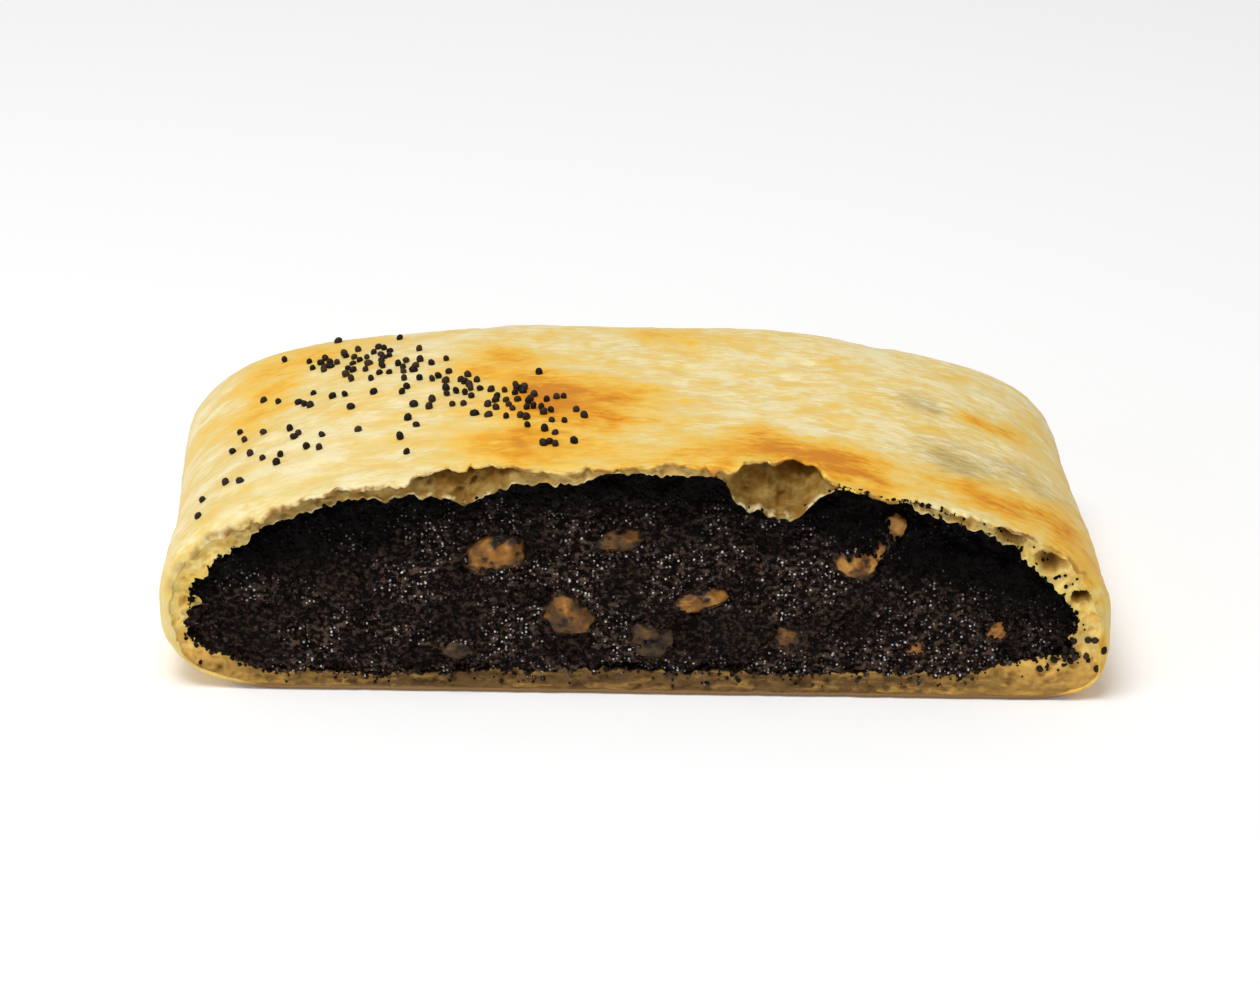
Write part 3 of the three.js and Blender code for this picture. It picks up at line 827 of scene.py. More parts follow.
walnuts, walnut_skins = [], []
for index, walnut in enumerate(WALNUTS, 1):
    points, faces = walnut_points(index, walnut)
    bedded = smoothstep(proud_of_face(points), WALNUT_PROUD * np.ptp(points[:, 1]), 0)
    tones = {"light": np.full(len(points), walnut["light"]), "bedded": bedded}
    walnuts.append(add_mesh(f"walnut_kernel_{index:02d}", points, faces, tones))
    walnut_skins.append(points)

# %% [markdown]
# ## Nodes as sums
#
# Node trees are easier to read as Python than as a web of links, so one small class wraps a socket and lets
# the usual operators add Math nodes. Any other node comes from its `node` method. The grains below use it, and
# later all the finishes do.


# %% A socket that can be used in sums
class Wire:
    """A socket that Python operators can do sums with."""

    def __init__(self, tree, socket=None):
        self.tree = tree
        self.socket = socket

    def node(self, kind, settings=None, sockets=None, output=0):
        """Adds a node: settings first, then the values or links of its sockets."""
        node = self.tree.nodes.new(kind)
        for key, value in (settings or {}).items():
            setattr(node, key, value)
        for key, value in (sockets or {}).items():
            if isinstance(value, Wire):
                self.tree.links.new(value.socket, node.inputs[key])
            else:
                node.inputs[key].default_value = value
        return Wire(self.tree, node.outputs[output])

    def sum(self, operation, first, second):
        return self.node("ShaderNodeMath", {"operation": operation}, {0: first, 1: second})

    def __add__(self, other):
        return self.sum("ADD", self, other)

    def __sub__(self, other):
        return self.sum("SUBTRACT", self, other)

    def __rsub__(self, other):
        return self.sum("SUBTRACT", other, self)

    def __mul__(self, other):
        return self.sum("MULTIPLY", self, other)

    __radd__ = __add__
    __rmul__ = __mul__

    def between(self, low, high):
        """0 below low, 1 above high, smooth between."""
        settings = {"interpolation_type": "SMOOTHSTEP"}
        return self.node("ShaderNodeMapRange", settings, {"Value": self, "From Min": low, "From Max": high})

    def mix(self, first, second):
        """The first colour where this is 0, the second where it is 1."""
        return self.node("ShaderNodeMix", {"data_type": "RGBA"}, {0: self, 6: first, 7: second}, 2)

    def ramp(self, *stops):
        """A colour for each value of this, from stops of a position and a colour."""
        tinted = self.node("ShaderNodeValToRGB", None, {"Fac": self})
        elements = tinted.socket.node.color_ramp.elements
        while len(elements) < len(stops):
            elements.new(0.5)
        for element, (position, tint) in zip(elements, stops):
            element.position, element.color = position, tint
        return tinted

    def attribute(self, name):
        return self.node("ShaderNodeAttribute", {"attribute_name": name}, None, "Fac")

    def spot(self):
        """The place on the piece, in metres from the frame's origin."""
        return self.node("ShaderNodeTexCoord", None, None, "Object")

    def axis(self, name):
        """The place along one axis, in millimetres."""
        return self.node("ShaderNodeSeparateXYZ", None, {0: self.spot()}, name) * (1 / MM)

    def clouds(self, size, stretch=(1, 1, 1), detail=3):
        """Soft noise from 0 to 1 with clouds about `size` mm across."""
        shrink = tuple(1 / (size * MM * share) for share in stretch)
        mapped = self.node("ShaderNodeMapping", None, {"Vector": self.spot(), "Scale": shrink})
        return self.node("ShaderNodeTexNoise", None, {"Vector": mapped, "Scale": 1.0, "Detail": detail})

    def fine_clouds(self, size, detail):
        """Clouds of one size in all directions, with more detail."""
        return self.clouds(size, (1, 1, 1), detail)

    def under(self, *layers):
        """This colour below layers of paint, each a share and its own colour."""
        base = self
        for share, tint in layers:
            base = share.mix(base, tint)
        return base

    def bump(self, strength, depth, height):
        """A normal tilted by heights, for relief about `depth` mm deep."""
        return self.node("ShaderNodeBump", None, {"Strength": strength, "Distance": depth * MM, "Height": height})


print("a wire can do:", ", ".join(name for name in vars(Wire) if not name.startswith("_")))


# %% [markdown]
# ## Seeds and grains by Geometry Nodes
#
# Hundreds of small round things are a job for Geometry Nodes: one tree takes points, puts a small body on
# each, turns and sizes it at random from a fixed seed, and realizes the instances, so that a plain mesh comes
# out. The same tree makes the whole poppy seeds on the crust and the ground crumble of the filling. Only the
# points, the sizes and the number of facets differ.

# %% One tree for all small grains
GRAIN_INPUTS = {
    "Geometry": "Geometry",
    "Radius": "Float",
    "Least Size": "Float",
    "Segments": "Int",
    "Rings": "Int",
    "Seed": "Int",
    "Finish": "Material",
}
GRAIN_SHAPE = (1, 0.84, 0.74)
FULL_TURN = (2 * math.pi,) * 3
TONE_SEED = 5


def grain_tree():
    """Points to small turned bodies, many of them small and few large."""
    tree = bpy.data.node_groups.new("grains_on_points", "GeometryNodeTree")
    for title, kind in GRAIN_INPUTS.items():
        tree.interface.new_socket(title, in_out="INPUT", socket_type=f"NodeSocket{kind}")
    tree.interface.new_socket("Geometry", in_out="OUTPUT", socket_type="NodeSocketGeometry")
    wire = Wire(tree)
    given = {socket.name: Wire(tree, socket) for socket in tree.nodes.new("NodeGroupInput").outputs}
    ball = wire.node("GeometryNodeMeshUVSphere", None, {key: given[key] for key in ("Segments", "Rings", "Radius")})
    body = wire.node("GeometryNodeTransform", None, {"Geometry": ball, "Scale": GRAIN_SHAPE})
    random, vector, number = "FunctionNodeRandomValue", {"data_type": "FLOAT_VECTOR"}, {"data_type": "FLOAT"}
    turn = wire.node(random, vector, {"Max": FULL_TURN, "Seed": given["Seed"]})
    draw = wire.node(random, number, {"Seed": given["Seed"]}, 1)
    tone = wire.node(random, number, {"Seed": TONE_SEED}, 1)
    skewed = draw.sum("POWER", draw, 2.0)
    size = wire.node("ShaderNodeMapRange", None, {"Value": skewed, "To Min": given["Least Size"], "To Max": 1.0})
    spots = {"Points": given["Geometry"], "Instance": body, "Rotation": turn, "Scale": size}
    placed = wire.node("GeometryNodeInstanceOnPoints", None, spots)
    on_each = {**number, "domain": "INSTANCE"}
    note = {"Geometry": placed, "Name": "tone", "Value": tone}
    noted = wire.node("GeometryNodeStoreNamedAttribute", on_each, note)
    real = wire.node("GeometryNodeRealizeInstances", None, {"Geometry": noted})
    painted = wire.node("GeometryNodeSetMaterial", None, {"Geometry": real, "Material": given["Finish"]})
    tree.links.new(painted.socket, tree.nodes.new("NodeGroupOutput").inputs["Geometry"])
    return tree


grains = grain_tree()
print(len(grains.nodes), "nodes in the grain tree")


# %% [markdown]
# ## Where the seeds lie
#
# Seeds were sprinkled by hand before baking. They lie in drifts: a thick one slants over the crown, a thin one
# runs off to the left, and a few stuck to the cut edge on the right. A drift is a line in plan with a spread,
# and a small repeatable random generator draws the seeds, the same draws as in the solid crust. Here and there
# seeds stuck together, so a second list adds clumps in which they touch.

# %% Drifts and clumps of seeds
SEED_DRIFTS = table(
    "from to spread count",
    ((-37, 42), (-7, 8), 2.5, 76),
    ((-32, 30), (-43, 9), 4, 34),
    ((-28, 24), (-20, 12), 5, 14),
)
SEED_CLUMPS = table(
    "x depth spread count",
    (-35.3, 38.3, 1.5, 13),
    (-32.3, 37.5, 1.7, 12),
    (-30.0, 35.5, 1.3, 6),
    (-26.0, 31.0, 0.8, 3),
    (-23.6, 27.5, 0.8, 4),
    (-21.2, 27.5, 0.9, 4),
    (-19.5, 25.0, 0.7, 6),
    (-16.3, 20.5, 1.1, 7),
    (-12.9, 21.5, 1.1, 10),
    (-11.5, 16.8, 1.2, 10),
    (-9.0, 17.5, 0.8, 3),
    (-6.3, 14.7, 0.5, 3),
    (-9.7, 8.2, 0.7, 5),
    (-37.6, 16, 0.5, 2),
)
SEED_BOUNDS = {"left": -47, "cut": 1, "end": 49}
RIM_SEEDS = {"count": 9, "from": -8, "to": 0, "outer": 0.15, "inner": 0.75, "back": 0.5}
EDGE_SEEDS = [(46.0, 6.6), (47.4, 6.8), (45.8, 5.6), (45.1, 5.0)]
EDGE_SEEDS += [(43.9, 4.3), (45.7, 4.2), (42.6, 3.3), (44.4, 5.8)]
wanted = sum(group["count"] for group in [*SEED_DRIFTS, RIM_SEEDS, *SEED_CLUMPS]) + len(EDGE_SEEDS)
print(wanted, "seeds are tried")

# %% Room for one more seed
SEED = 1.05
SEED_SUNK = 0.3
SEED_DRAW = {"start": 7, "times": 1664525, "plus": 1013904223, "span": 2**32}


def repeatable(start, times, plus, span):
    """Random numbers from 0 to 1, the same on every run."""
    state = start
    while True:
        state = (state * times + plus) % span
        yield state / span


def crown_spot(x, depth):
    """The point of the crown over a place in plan, and the way out of it."""
    half_turn = np.linspace(0, np.pi, num=4001)
    angle = np.array(np.interp(-x, -skin_point(half_turn, depth)[:, 0], half_turn))
    out = outward(angle, depth)
    return skin_point(angle, depth), np.array([out[0], 0, out[1]])


class SeedBed:
    """Seeds laid so far. A new one is kept only where it has room."""

    def __init__(self):
        self.spots = []
        self.middles = []

    def lay(self, point, out, apart):
        if all(np.linalg.norm(point - other) > apart for other in self.spots):
            self.spots.append(point)
            self.middles.append(point + out * SEED * (0.5 - SEED_SUNK))


print(f"half way along, the crown is {crown_spot(0, LENGTH / 2)[0][2]:.1f} mm high")

# %% Laying the seeds
SEED_APART = 1.15
CLUMP_APART = 0.72
CLUMP_STRETCH = 1.4  # clumps are this much longer along the roll
TOWARDS_CUT = np.array([0, -1, 0])


def seed_places():
    """Middles of the seeds in the drifts, on the cut edge and in the clumps."""
    draw, bed = repeatable(**SEED_DRAW), SeedBed()

    def scatter():
        """A number from -3 to 3, most often near 0."""
        return 2 * (next(draw) + next(draw) + next(draw) - 1.5)

    for drift in SEED_DRIFTS:
        for _ in range(drift["count"]):
            share = next(draw)
            x = lerp(drift["from"][0], drift["to"][0], share) + scatter() * drift["spread"]
            depth = lerp(drift["from"][1], drift["to"][1], share) + scatter() * drift["spread"]
            if x > SEED_BOUNDS["left"] and SEED_BOUNDS["cut"] < depth < SEED_BOUNDS["end"]:
                bed.lay(*crown_spot(x, depth), SEED_APART)
    for _ in range(RIM_SEEDS["count"]):
        angle = np.array([math.radians(lerp(RIM_SEEDS["from"], RIM_SEEDS["to"], next(draw))) % (2 * math.pi)])
        share = lerp(RIM_SEEDS["outer"], RIM_SEEDS["inner"], next(draw))
        rim = lerp(skin_point(angle, 0.0), inner_point(angle, 0.0, 0), share)[0]
        bed.lay(rim + [0, RIM_SEEDS["back"], 0], TOWARDS_CUT, SEED_APART)
    for x, z in EDGE_SEEDS:
        spots = band_rings.reshape(-1, 3)
        nearest = np.hypot(spots[:, 0] - x, spots[:, 2] - z).argmin()
        bed.lay(spots[nearest], TOWARDS_CUT, CLUMP_APART)
    for clump in SEED_CLUMPS:
        for _ in range(clump["count"]):
            x = clump["x"] + scatter() * clump["spread"]
            depth = clump["depth"] + scatter() * CLUMP_STRETCH * clump["spread"]
            bed.lay(*crown_spot(x, depth), CLUMP_APART)
    return bed.middles


seed_middles = seed_places()
print(len(seed_middles), "seeds have room")

# %% [markdown]
# ## Where the crumble lies
#
# The crumble covers the filling's face evenly. More of it clings where the filling meets the crust, a little
# strayed onto the cut crumb, some lies along the edges of the walnut pieces, so that they look bedded, and some
# caught on the torn lip at the upper right.

# %% Places of the crumble
CRUMBLE = {"face": 7600, "edge": 1200, "strays": 200, "walnuts": 800, "caught": 90}
CRUMBLE_DRAW = 4
EDGE_CRUMBLE = {"from": 0.3, "power": 0.6, "clearance": 0.05}
STRAYS = {"reach": 0.7, "low": 6, "right": 20}
WALNUT_FRINGE = (-0.1, 0.45)
CAUGHT = {"from": 20, "to": 33, "low": 14, "rows": 5}


def face_spots(draw, count):
    """Random spots on the filling's face, even over its area."""
    start, ahead, aside = (filling_points[[cell[corner] for cell in face_cells]] for corner in range(3))
    ahead, aside = ahead - start, aside - start
    area = np.linalg.norm(np.cross(ahead, aside), axis=1)
    chosen = draw.choice(len(start), count, p=area / area.sum())
    first, second = draw.random((2, count, 1))
    return start[chosen] + first * ahead[chosen] + second * aside[chosen]


def edge_spots(draw, count):
    """Spots on the crust's inside, between the filling's face and the cut."""
    chosen = draw.integers(0, len(ring_angles), count)
    depth = EDGE_CRUMBLE["from"] + draw.random(count) ** EDGE_CRUMBLE["power"] * ring_depth[chosen]
    return inner_point(ring_angles[chosen], depth, EDGE_CRUMBLE["clearance"])


def stray_spots(draw, count):
    """Spots on the cut crumb at the foot and on the right, most of them near the filling."""
    row = (EDGE_ROWS * (1 - STRAYS["reach"] * draw.random(count) ** 2)).astype(int)
    x, _, z = axes(band_rings[EDGE_ROWS // 2])
    column = np.where((z < STRAYS["low"]) | (x > STRAYS["right"]))[0]
    return band_rings[row, draw.choice(column, count)]


def walnut_spots(draw, count):
    """Spots on the walnuts, close to where they come out of the filling."""
    points = np.concatenate(walnut_skins)
    out, (low, high) = proud_of_face(points), WALNUT_FRINGE
    return draw.choice(points[(out > low) & (out < high)], count)


def caught_spots(draw, count):
    """Spots on the lip of the torn skin at the upper right, where crumbs caught."""
    x, _, z = axes(band_rings[EDGE_ROWS // 2])
    column = np.where((x > CAUGHT["from"]) & (x < CAUGHT["to"]) & (z > CAUGHT["low"]))[0]
    return band_rings[draw.integers(0, CAUGHT["rows"], count), draw.choice(column, count)]


def crumble_places():
    """Middles of all grains of the crumble."""
    draw = np.random.default_rng(CRUMBLE_DRAW)
    kinds = [face_spots, edge_spots, stray_spots, walnut_spots, caught_spots]
    return np.concatenate([spots(draw, count) for spots, count in zip(kinds, CRUMBLE.values())])


crumble_middles = crumble_places()
print(len(crumble_middles), "grains of crumble")

# %% [markdown]
# ## Finishes
#
# A finish is a Principled shader. What is the same all over is set on its sockets. What varies comes from a
# paint function, which takes a wire and returns what to link to each socket. Most base colours are layers of
# paint, one over the other, each with a share that varies from place to place.


# %% Colours and materials
def colour(red, green, blue):
    """A colour given in the 0 to 255 numbers of a picture, as Blender's linear numbers."""
    parts = [part / 255 for part in (red, green, blue)]
    return (*[((part + 0.055) / 1.055) ** 2.4 if part > 0.04 else part / 12.92 for part in parts], 1.0)


def new_finish(name, constants, paint):
    """A material with a Principled shader that has constant sockets and links from a paint function."""
    finish = bpy.data.materials.new(name)
    finish.use_nodes = True
    shader = finish.node_tree.nodes["Principled BSDF"]
    for key, value in constants.items():
        shader.inputs[key].default_value = value
    for key, wire in paint(Wire(finish.node_tree)).items():
        wire.tree.links.new(wire.socket, shader.inputs[key])
    return finish


print("a middle grey is", round(colour(128, 128, 128)[0], 3), "in linear numbers")


# %% [markdown]
# ### Baked skin
#
# The skin runs from cream through straw and gold to brown by its browning number. Fibres of the dough run
# round the roll, so the noise that breaks the patches up is long in x and z and short along the roll, and its
# streaks are stronger to the right. Thin places turn grey. Light enters dough a little, so the shader has
# subsurface scattering.

# %% Skin finish
CREAM = colour(246, 231, 180)
STRAW = colour(238, 208, 128)
GOLD = colour(244, 196, 80)
AMBER = colour(236, 166, 30)
BROWN = colour(214, 134, 20)
GREY_DOUGH = colour(156, 142, 102)
TORN_BROWN_AND_SHADE = colour(156, 110, 40)
SOLE_BROWN = colour(132, 98, 54)
BROWNED = [(0.0, CREAM), (0.25, STRAW), (0.5, GOLD), (0.78, AMBER), (1.0, BROWN)]
LEAST_BROWNING = 0.16
STREAKY_RIGHT = (-30, 15)
GREY_RIGHT = (4, 30)
DOUGH = {
    "Subsurface Weight": 0.2,
    "Subsurface Radius": (1.0, 0.6, 0.3),
    "Subsurface Scale": MM,
    "Specular IOR Level": 0.35,
}


def skin_paint(wire):
    fibres = wire.clouds(0.75, (2.2, 1, 2.2), 4)
    fine = wire.clouds(0.36, (4, 1, 4), 4)
    wisps = wire.clouds(2.3, (1.5, 1, 1.5), 3)
    mottle = wire.clouds(5, (1.3, 1, 1.3), 2)
    across = wire.axis("X")
    streaky = 0.2 + across.between(*STREAKY_RIGHT) * 0.25 + wire.clouds(6).between(0.35, 0.65) * 0.4
    broken = (wisps + mottle - 1) * 0.6 + (fibres + fine - 1) * streaky
    tinted = (wire.attribute("browning") + LEAST_BROWNING + broken).ramp(*BROWNED)
    thin = (wire.attribute("thin") * 0.75 + across.between(*GREY_RIGHT) * 0.14) * (mottle + fine - 0.35)
    # Painted shade: the torn lip and the skin's underside turn brown. This is partly a browned edge and partly
    # painted shade.
    torn = wire.attribute("rim") * wire.clouds(2.2).between(0.42, 0.6)
    base = tinted.under(
        (thin.between(0.1, 0.75), GREY_DOUGH),
        (torn, TORN_BROWN_AND_SHADE),
        (wire.attribute("sole"), SOLE_BROWN),
    )
    bump = wire.bump(0.6, 0.18, fibres * 0.6 + wire.clouds(0.5) * 0.4)
    return {"Base Color": base, "Roughness": 0.42 + mottle * 0.2, "Normal": bump}


skin.data.materials.append(new_finish("baked_skin", DOUGH, skin_paint))
print("the skin has its finish")

# %% [markdown]
# ### Open crumb
#
# The crumb is yellowish and matt, duller on the crown and golden at the foot, and brown in the depth of its
# pits, which is painted shade. Along the sole it is soaked and darker, with smears of filling that leaked. Under
# the crown, in and beside the opened bubbles, it is tan, partly stained dough and partly painted shade. A pale
# broken border meets the filling, and torn skin shades the crumb below it, as painted shade. Its inside took the
# colour of the filling.

# %% Crumb finish
CRUMB = colour(252, 228, 146)
CRUMB_YELLOW = colour(243, 203, 102)
CROWN_CRUMB = colour(220, 193, 121)
CROWN_CRUMB_DULL = colour(194, 160, 88)
CRUMB_PIT_SHADE = colour(126, 92, 44)
CAVE_TAN = colour(128, 90, 24)
CAVE_PALE = colour(154, 127, 62)
CRUMB_SHADE = colour(144, 84, 8)
CRUMB_BORDER = colour(222, 202, 150)
CRUMB_GOLD = colour(236, 186, 92)
SOAKED = colour(116, 86, 45)
LEAKED = colour(70, 44, 20)
STAINED = colour(34, 24, 16)
GOLDEN_FOOT = (2, 9)
DULL_CROWN = (16, 21)


def crumb_paint(wire):
    mottle = wire.clouds(1.6, (2, 1, 1), 4)
    blotches = mottle.between(0.35, 0.65)
    height, soaked = wire.axis("Z"), wire.attribute("soaked")
    streaks = wire.clouds(0.7, (6, 1, 1), 3) * 2.4 - 0.1
    leaked = wire.clouds(1.8, (2.2, 1, 0.8), 4).between(0.54, 0.68) * 0.6
    pits = wire.attribute("hollow") + (wire.clouds(0.6) - 0.5) * 0.5
    # Tan under the crown, in and beside the opened bubbles: partly stained dough and partly painted shade.
    cave = wire.clouds(1.3, (1.5, 1, 1), 5).between(0.42, 0.68).mix(CAVE_TAN, CAVE_PALE)
    base = blotches.mix(CRUMB, CRUMB_YELLOW).under(
        (1 - height.between(*GOLDEN_FOOT), CRUMB_GOLD),
        (height.between(*DULL_CROWN), blotches.mix(CROWN_CRUMB, CROWN_CRUMB_DULL)),
        (soaked * streaks, SOAKED),
        (soaked * leaked, LEAKED),
        # Painted shade: the crumb turns brown with the depth of its pits and caves.
        (pits.between(0.5, 2.6), CRUMB_PIT_SHADE),
        (wire.attribute("cave") * (0.55 + mottle), cave),
        (wire.attribute("border") * wire.fine_clouds(1.1, 4).between(0.46, 0.6), CRUMB_BORDER),
        (wire.attribute("under") * wire.clouds(1.2, (1.5, 1, 1), 4).between(0.36, 0.6), CRUMB_SHADE),
        (wire.attribute("stain"), STAINED),
    )
    bump = wire.bump(0.7, 0.25, wire.fine_clouds(0.6, 5))
    return {"Base Color": base, "Roughness": 0.62 + mottle * 0.2, "Normal": bump}


matt_dough = {**DOUGH, "Specular IOR Level": 0.25}
crumb.data.materials.append(new_finish("open_crumb", matt_dough, crumb_paint))
print("the crumb has its finish")

# %% [markdown]
# ### Poppy seed
#
# The filling is nearly black, but moist. Its glints are painted highlights: small ragged pale specks in
# clusters, one to a cell of a Voronoi texture at most, which also get a glossy coat. Under the crown, where the
# filling lies in the recess below the crust, and reaching lower at the sides, it is darkened with painted shade
# and has few glints. Whole seeds on the crust are dull brown-black.

# %% Poppy finishes
POPPY_DARK = colour(8, 5, 4)
POPPY_LIGHT = colour(46, 32, 25)
POPPY_GLINT = colour(226, 220, 218)
POPPY_CRACKED = colour(92, 73, 62)
SEED_DARK = colour(26, 15, 11)
SEED_LIGHT = colour(62, 44, 34)
CROWN_SHADE = {"height": (17.5, 23.5), "arch": 0.0045, "sides": (12, 32), "right": 3.0, "left": 1.5}
GLINT_CELL = 0.42


def crumble_paint(wire):
    # Painted shade: under the crown, where the filling lies in the recess below the crust, it turns blacker and
    # loses most glints and cracked grains. The shade reaches lower towards the sides.
    across, side = wire.axis("X"), CROWN_SHADE["sides"]
    sides = across.between(*side) * CROWN_SHADE["right"] + (0 - across).between(*side) * CROWN_SHADE["left"]
    arched = wire.axis("Z") + across * across * CROWN_SHADE["arch"] + sides
    lower = 1 - arched.between(*CROWN_SHADE["height"])
    tone = (wire.attribute("tone") * 0.7 + wire.clouds(1.5) * 0.4) * lower
    dark = tone.between(0.1, 1.0).mix(POPPY_DARK, POPPY_LIGHT)
    # Painted highlights: pale glints in clusters, one to a Voronoi cell at most, are painted into the base colour
    # and also get a glossy coat.
    cells = {"Vector": wire.spot(), "Scale": 1 / (GLINT_CELL * MM)}
    nearby, tint = (wire.node("ShaderNodeTexVoronoi", None, cells, output) for output in ("Distance", "Color"))
    draw = wire.node("ShaderNodeSeparateColor", None, {0: tint}, "Red")
    clustered = wire.clouds(4, (1.4, 1, 1), 5).between(0.42, 0.6) * (0.05 + 0.95 * lower)
    ragged = nearby + (wire.clouds(0.2) - 0.5) * 0.4 - draw * 0.2
    painted_glints = (1 - ragged.between(0.02, 0.2)) * clustered * draw.between(0.45, 0.95)
    cracked = wire.clouds(0.5, (1.5, 1, 1), 3).between(0.48, 0.66) * (0.4 + 0.6 * clustered) * lower
    base = dark.under((cracked, POPPY_CRACKED), (painted_glints, POPPY_GLINT))
    bump = wire.bump(0.7, 0.2, wire.clouds(0.3))
    return {"Base Color": base, "Roughness": 0.38 - painted_glints * 0.15, "Coat Weight": painted_glints, "Normal": bump}


def seed_paint(wire):
    tone = wire.attribute("tone") * 0.8 + wire.clouds(0.5) * 0.3
    base = tone.between(0.3, 1.0).mix(SEED_DARK, SEED_LIGHT)
    return {"Base Color": base, "Roughness": 0.45 + wire.clouds(0.4) * 0.2}


moist = {"Specular IOR Level": 0.05, "Coat Roughness": 0.15}
dark_finish = new_finish("poppy_crumble", moist, crumble_paint)
seed_finish = new_finish("poppy_seed", {"Specular IOR Level": 0.18}, seed_paint)
filling.data.materials.append(dark_finish)
print("the filling has its finish")

# %% [markdown]
# ### Walnut
#
# Walnut is tan to brown, lighter or darker from piece to piece. Brown skin covers it in patches, a dark rind
# lies where it is bedded, and filling is smeared on it.

# %% Walnut finish
WALNUT_DIM = colour(74, 54, 31)
WALNUT_MIDDLE = colour(156, 104, 40)
WALNUT_BRIGHT = colour(208, 156, 82)
WALNUT_RIND = colour(100, 60, 18)
WALNUT_SKIN = colour(66, 40, 20)
WALNUT_SMEAR = colour(34, 23, 14)
WALNUT_FLESH = [(0.0, WALNUT_DIM), (0.55, WALNUT_MIDDLE), (1.0, WALNUT_BRIGHT)]


def walnut_paint(wire):
    light, bedded = wire.attribute("light"), wire.attribute("bedded")
    flesh = (light + (wire.fine_clouds(1.6, 4) - 0.5) * 2.2).between(-0.1, 1.6).ramp(*WALNUT_FLESH)
    rind = bedded + (wire.fine_clouds(0.9, 4) - 0.5) * 1.4
    soiled = wire.fine_clouds(1.2, 5) + bedded * 0.24 - light * 0.12
    base = flesh.under(
        (rind.between(0.25, 1.0), WALNUT_RIND),
        (wire.fine_clouds(2.4, 5).between(0.52, 0.72), WALNUT_SKIN),
        (soiled.between(0.47, 0.69), WALNUT_SMEAR),
    )
    bump = wire.bump(0.5, 0.2, wire.clouds(0.7))
    return {"Base Color": base, "Roughness": 0.35 + wire.clouds(1.1) * 0.2, "Normal": bump}


kernel_finish = new_finish("walnut_kernel", {"Specular IOR Level": 0.22}, walnut_paint)
for walnut in walnuts:
    walnut.data.materials.append(kernel_finish)
print(len(walnuts), "walnuts have their finish")

# %% [markdown]
# ## Run the tree
#
# A tree of Geometry Nodes runs as a modifier, here of a mesh that holds bare points. Blender then evaluates
# the object, and a copy of the result is a plain mesh with all the grains in it. That mesh becomes the piece.

# %% Seeds on the crust and crumble on the face
SEED_BODY = {"Radius": 0.55 * SEED * MM, "Least Size": 0.76, "Segments": 8, "Rings": 6, "Seed": 3}
CRUMBLE_BODY = {"Radius": 0.4 * MM, "Least Size": 0.42, "Segments": 5, "Rings": 3, "Seed": 8}


def run_tree(name, tree, points, values, smooth):
    """Runs a tree on bare points and returns its result as a plain mesh object at the origin."""
    mesh = bpy.data.meshes.new(name)
    mesh.from_pydata(((np.asarray(points) + CENTRE) * MM).tolist(), [], [])
    piece = add_object(name, mesh)
    modifier = piece.modifiers.new("grains", "NODES")
    modifier.node_group = tree
    for item in tree.interface.items_tree:
        if item.in_out == "INPUT" and item.name in values:
            modifier[item.identifier] = values[item.name]
    depsgraph = bpy.context.evaluated_depsgraph_get()
    result = bpy.data.meshes.new_from_object(piece.evaluated_get(depsgraph))
    piece.modifiers.remove(modifier)
    piece.data = result
    bpy.data.meshes.remove(mesh)
    result.name = name
    if smooth:
        result.shade_smooth()
    else:
        result.shade_flat()
    print(f"{name}: {len(points)} grains, {len(result.polygons)} faces")
    return piece


seeds = run_tree("poppy_seeds", grains, seed_middles, {**SEED_BODY, "Finish": seed_finish}, True)
crumble = run_tree("poppy_crumble", grains, crumble_middles, {**CRUMBLE_BODY, "Finish": dark_finish}, False)

# %% [markdown]
# ## Tie the pieces to the frame
#
# Every piece rides on the one body of the part, and the plain solids that the pieces stand in for are hidden.

# %% Ride on the part and hide the plain solids
slots = [(skin, "crust"), (crumb, "crust"), (seeds, "crust"), (filling, "filling"), (crumble, "filling")]
slots += [(walnut, "walnut") for walnut in walnuts]
for piece, slot in slots:
    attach(piece, "root")
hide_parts("crust")
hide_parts("filling")
for index, walnut in enumerate(walnuts, 1):
    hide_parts(f"walnut_{index:02d}")
print(len(slots), "pieces ride on the part")

# %% [markdown]
# ## Studio
#
# A white floor that glows a little, a bright even surround and one large soft light overhead give the pale look
# of a product picture, with a weak fill from the left front. The camera stands in front of the cut and looks
# down a little, with a long lens.

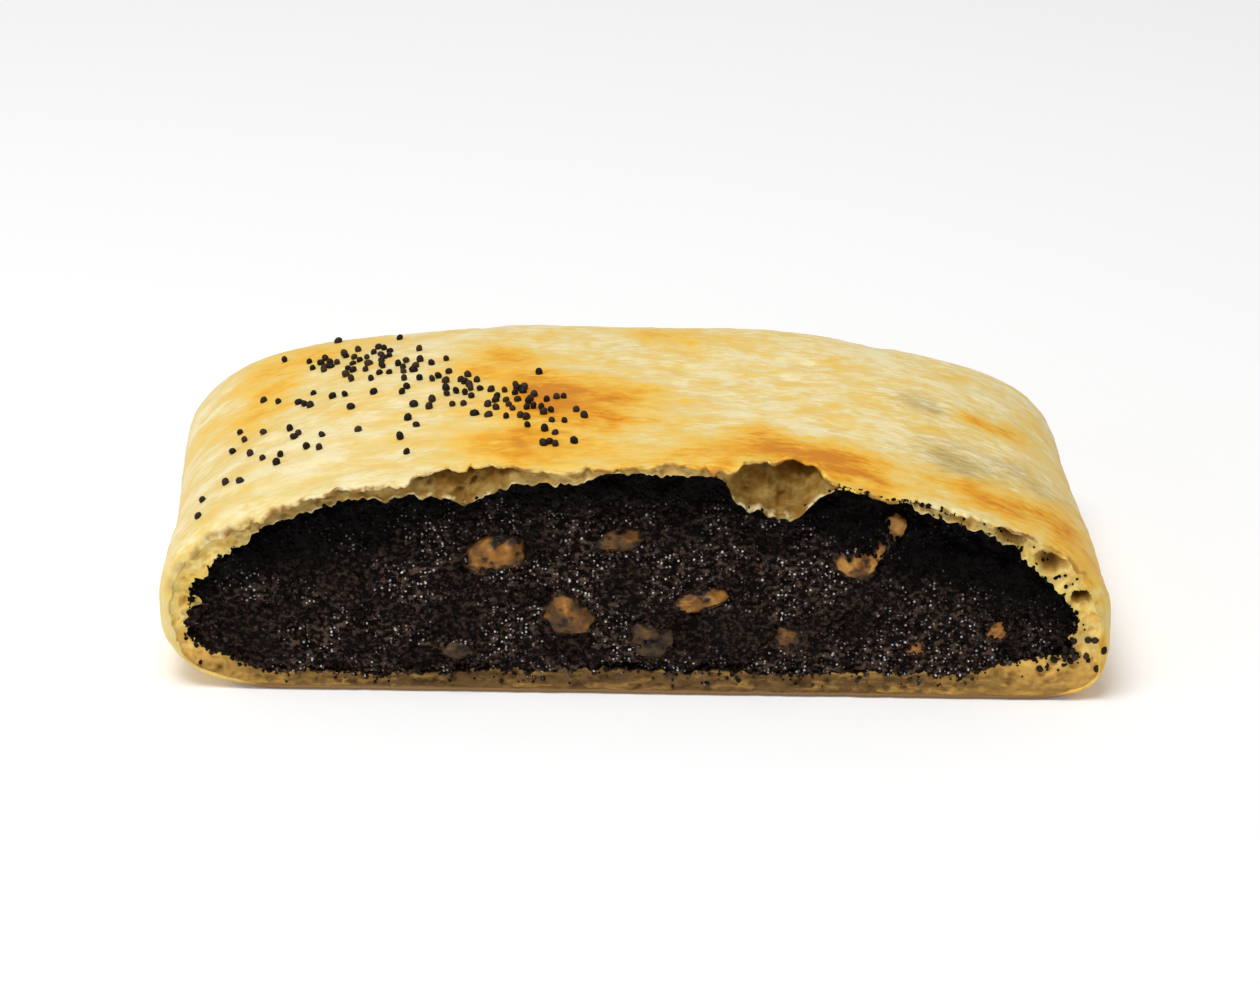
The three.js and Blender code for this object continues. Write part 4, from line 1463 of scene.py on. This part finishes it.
# %% Floor and surround
FLOOR = {"size": 6.0, "drop": 0.0001}
FLOOR_GLOW = {"Roughness": 0.8, "Emission Strength": 0.1, "Emission Color": (1, 1, 1, 1)}
SURROUND = 0.32


def floor_paint(wire):
    return {"Base Color": wire.clouds(300).mix(colour(247, 247, 247), colour(250, 250, 250))}


def studio_floor():
    bpy.ops.mesh.primitive_plane_add(size=FLOOR["size"], location=(0, 0, -FLOOR["drop"]))
    floor = bpy.context.object
    floor.name = "studio_floor"
    floor.data.materials.append(new_finish("studio_white", FLOOR_GLOW, floor_paint))


def studio_world(strength):
    world = bpy.data.worlds.new("studio")
    world.use_nodes = True
    surround = world.node_tree.nodes["Background"].inputs
    surround["Color"].default_value = (1, 1, 1, 1)
    surround["Strength"].default_value = strength
    bpy.context.scene.world = world


studio_floor()
studio_world(SURROUND)
print(f"a floor {FLOOR['size']} m wide")

# %% Lights and camera
LIGHTS = [
    {"name": "overhead", "power": 5.8, "size": 0.5, "at": (-0.14, -0.2, 0.85)},
    {"name": "fill", "power": 0.6, "size": 0.4, "at": (-0.5, -0.4, 0.2)},
]
CAMERA = {"azimuth": 1.84, "elevation": 24, "distance": 420, "aim": (0, 0, 11.5), "lens": 108}


def look_along(piece, way):
    """Turns a light or a camera to look that way."""
    piece.rotation_euler = way.to_track_quat("-Z", "Y").to_euler()


def soft_light(name, power, size, at):
    data = bpy.data.lights.new(name, "AREA")
    data.energy, data.size = power, size
    light = add_object(name, data)
    light.location = at
    look_along(light, -Vector(at))


def studio_camera():
    data = bpy.data.cameras.new("camera")
    data.lens = CAMERA["lens"]
    camera = add_object("camera", data)
    turn, rise = math.radians(CAMERA["azimuth"]), math.radians(CAMERA["elevation"])
    back = Vector((math.sin(turn) * math.cos(rise), -math.cos(turn) * math.cos(rise), math.sin(rise)))
    camera.location = Vector(CAMERA["aim"]) * MM + back * CAMERA["distance"] * MM
    look_along(camera, -back)
    bpy.context.scene.camera = camera


for light in LIGHTS:
    soft_light(**light)
studio_camera()
bpy.context.scene.view_settings.view_transform = "Standard"
print(f"{len(LIGHTS)} lights, and a camera {CAMERA['distance']} mm away")
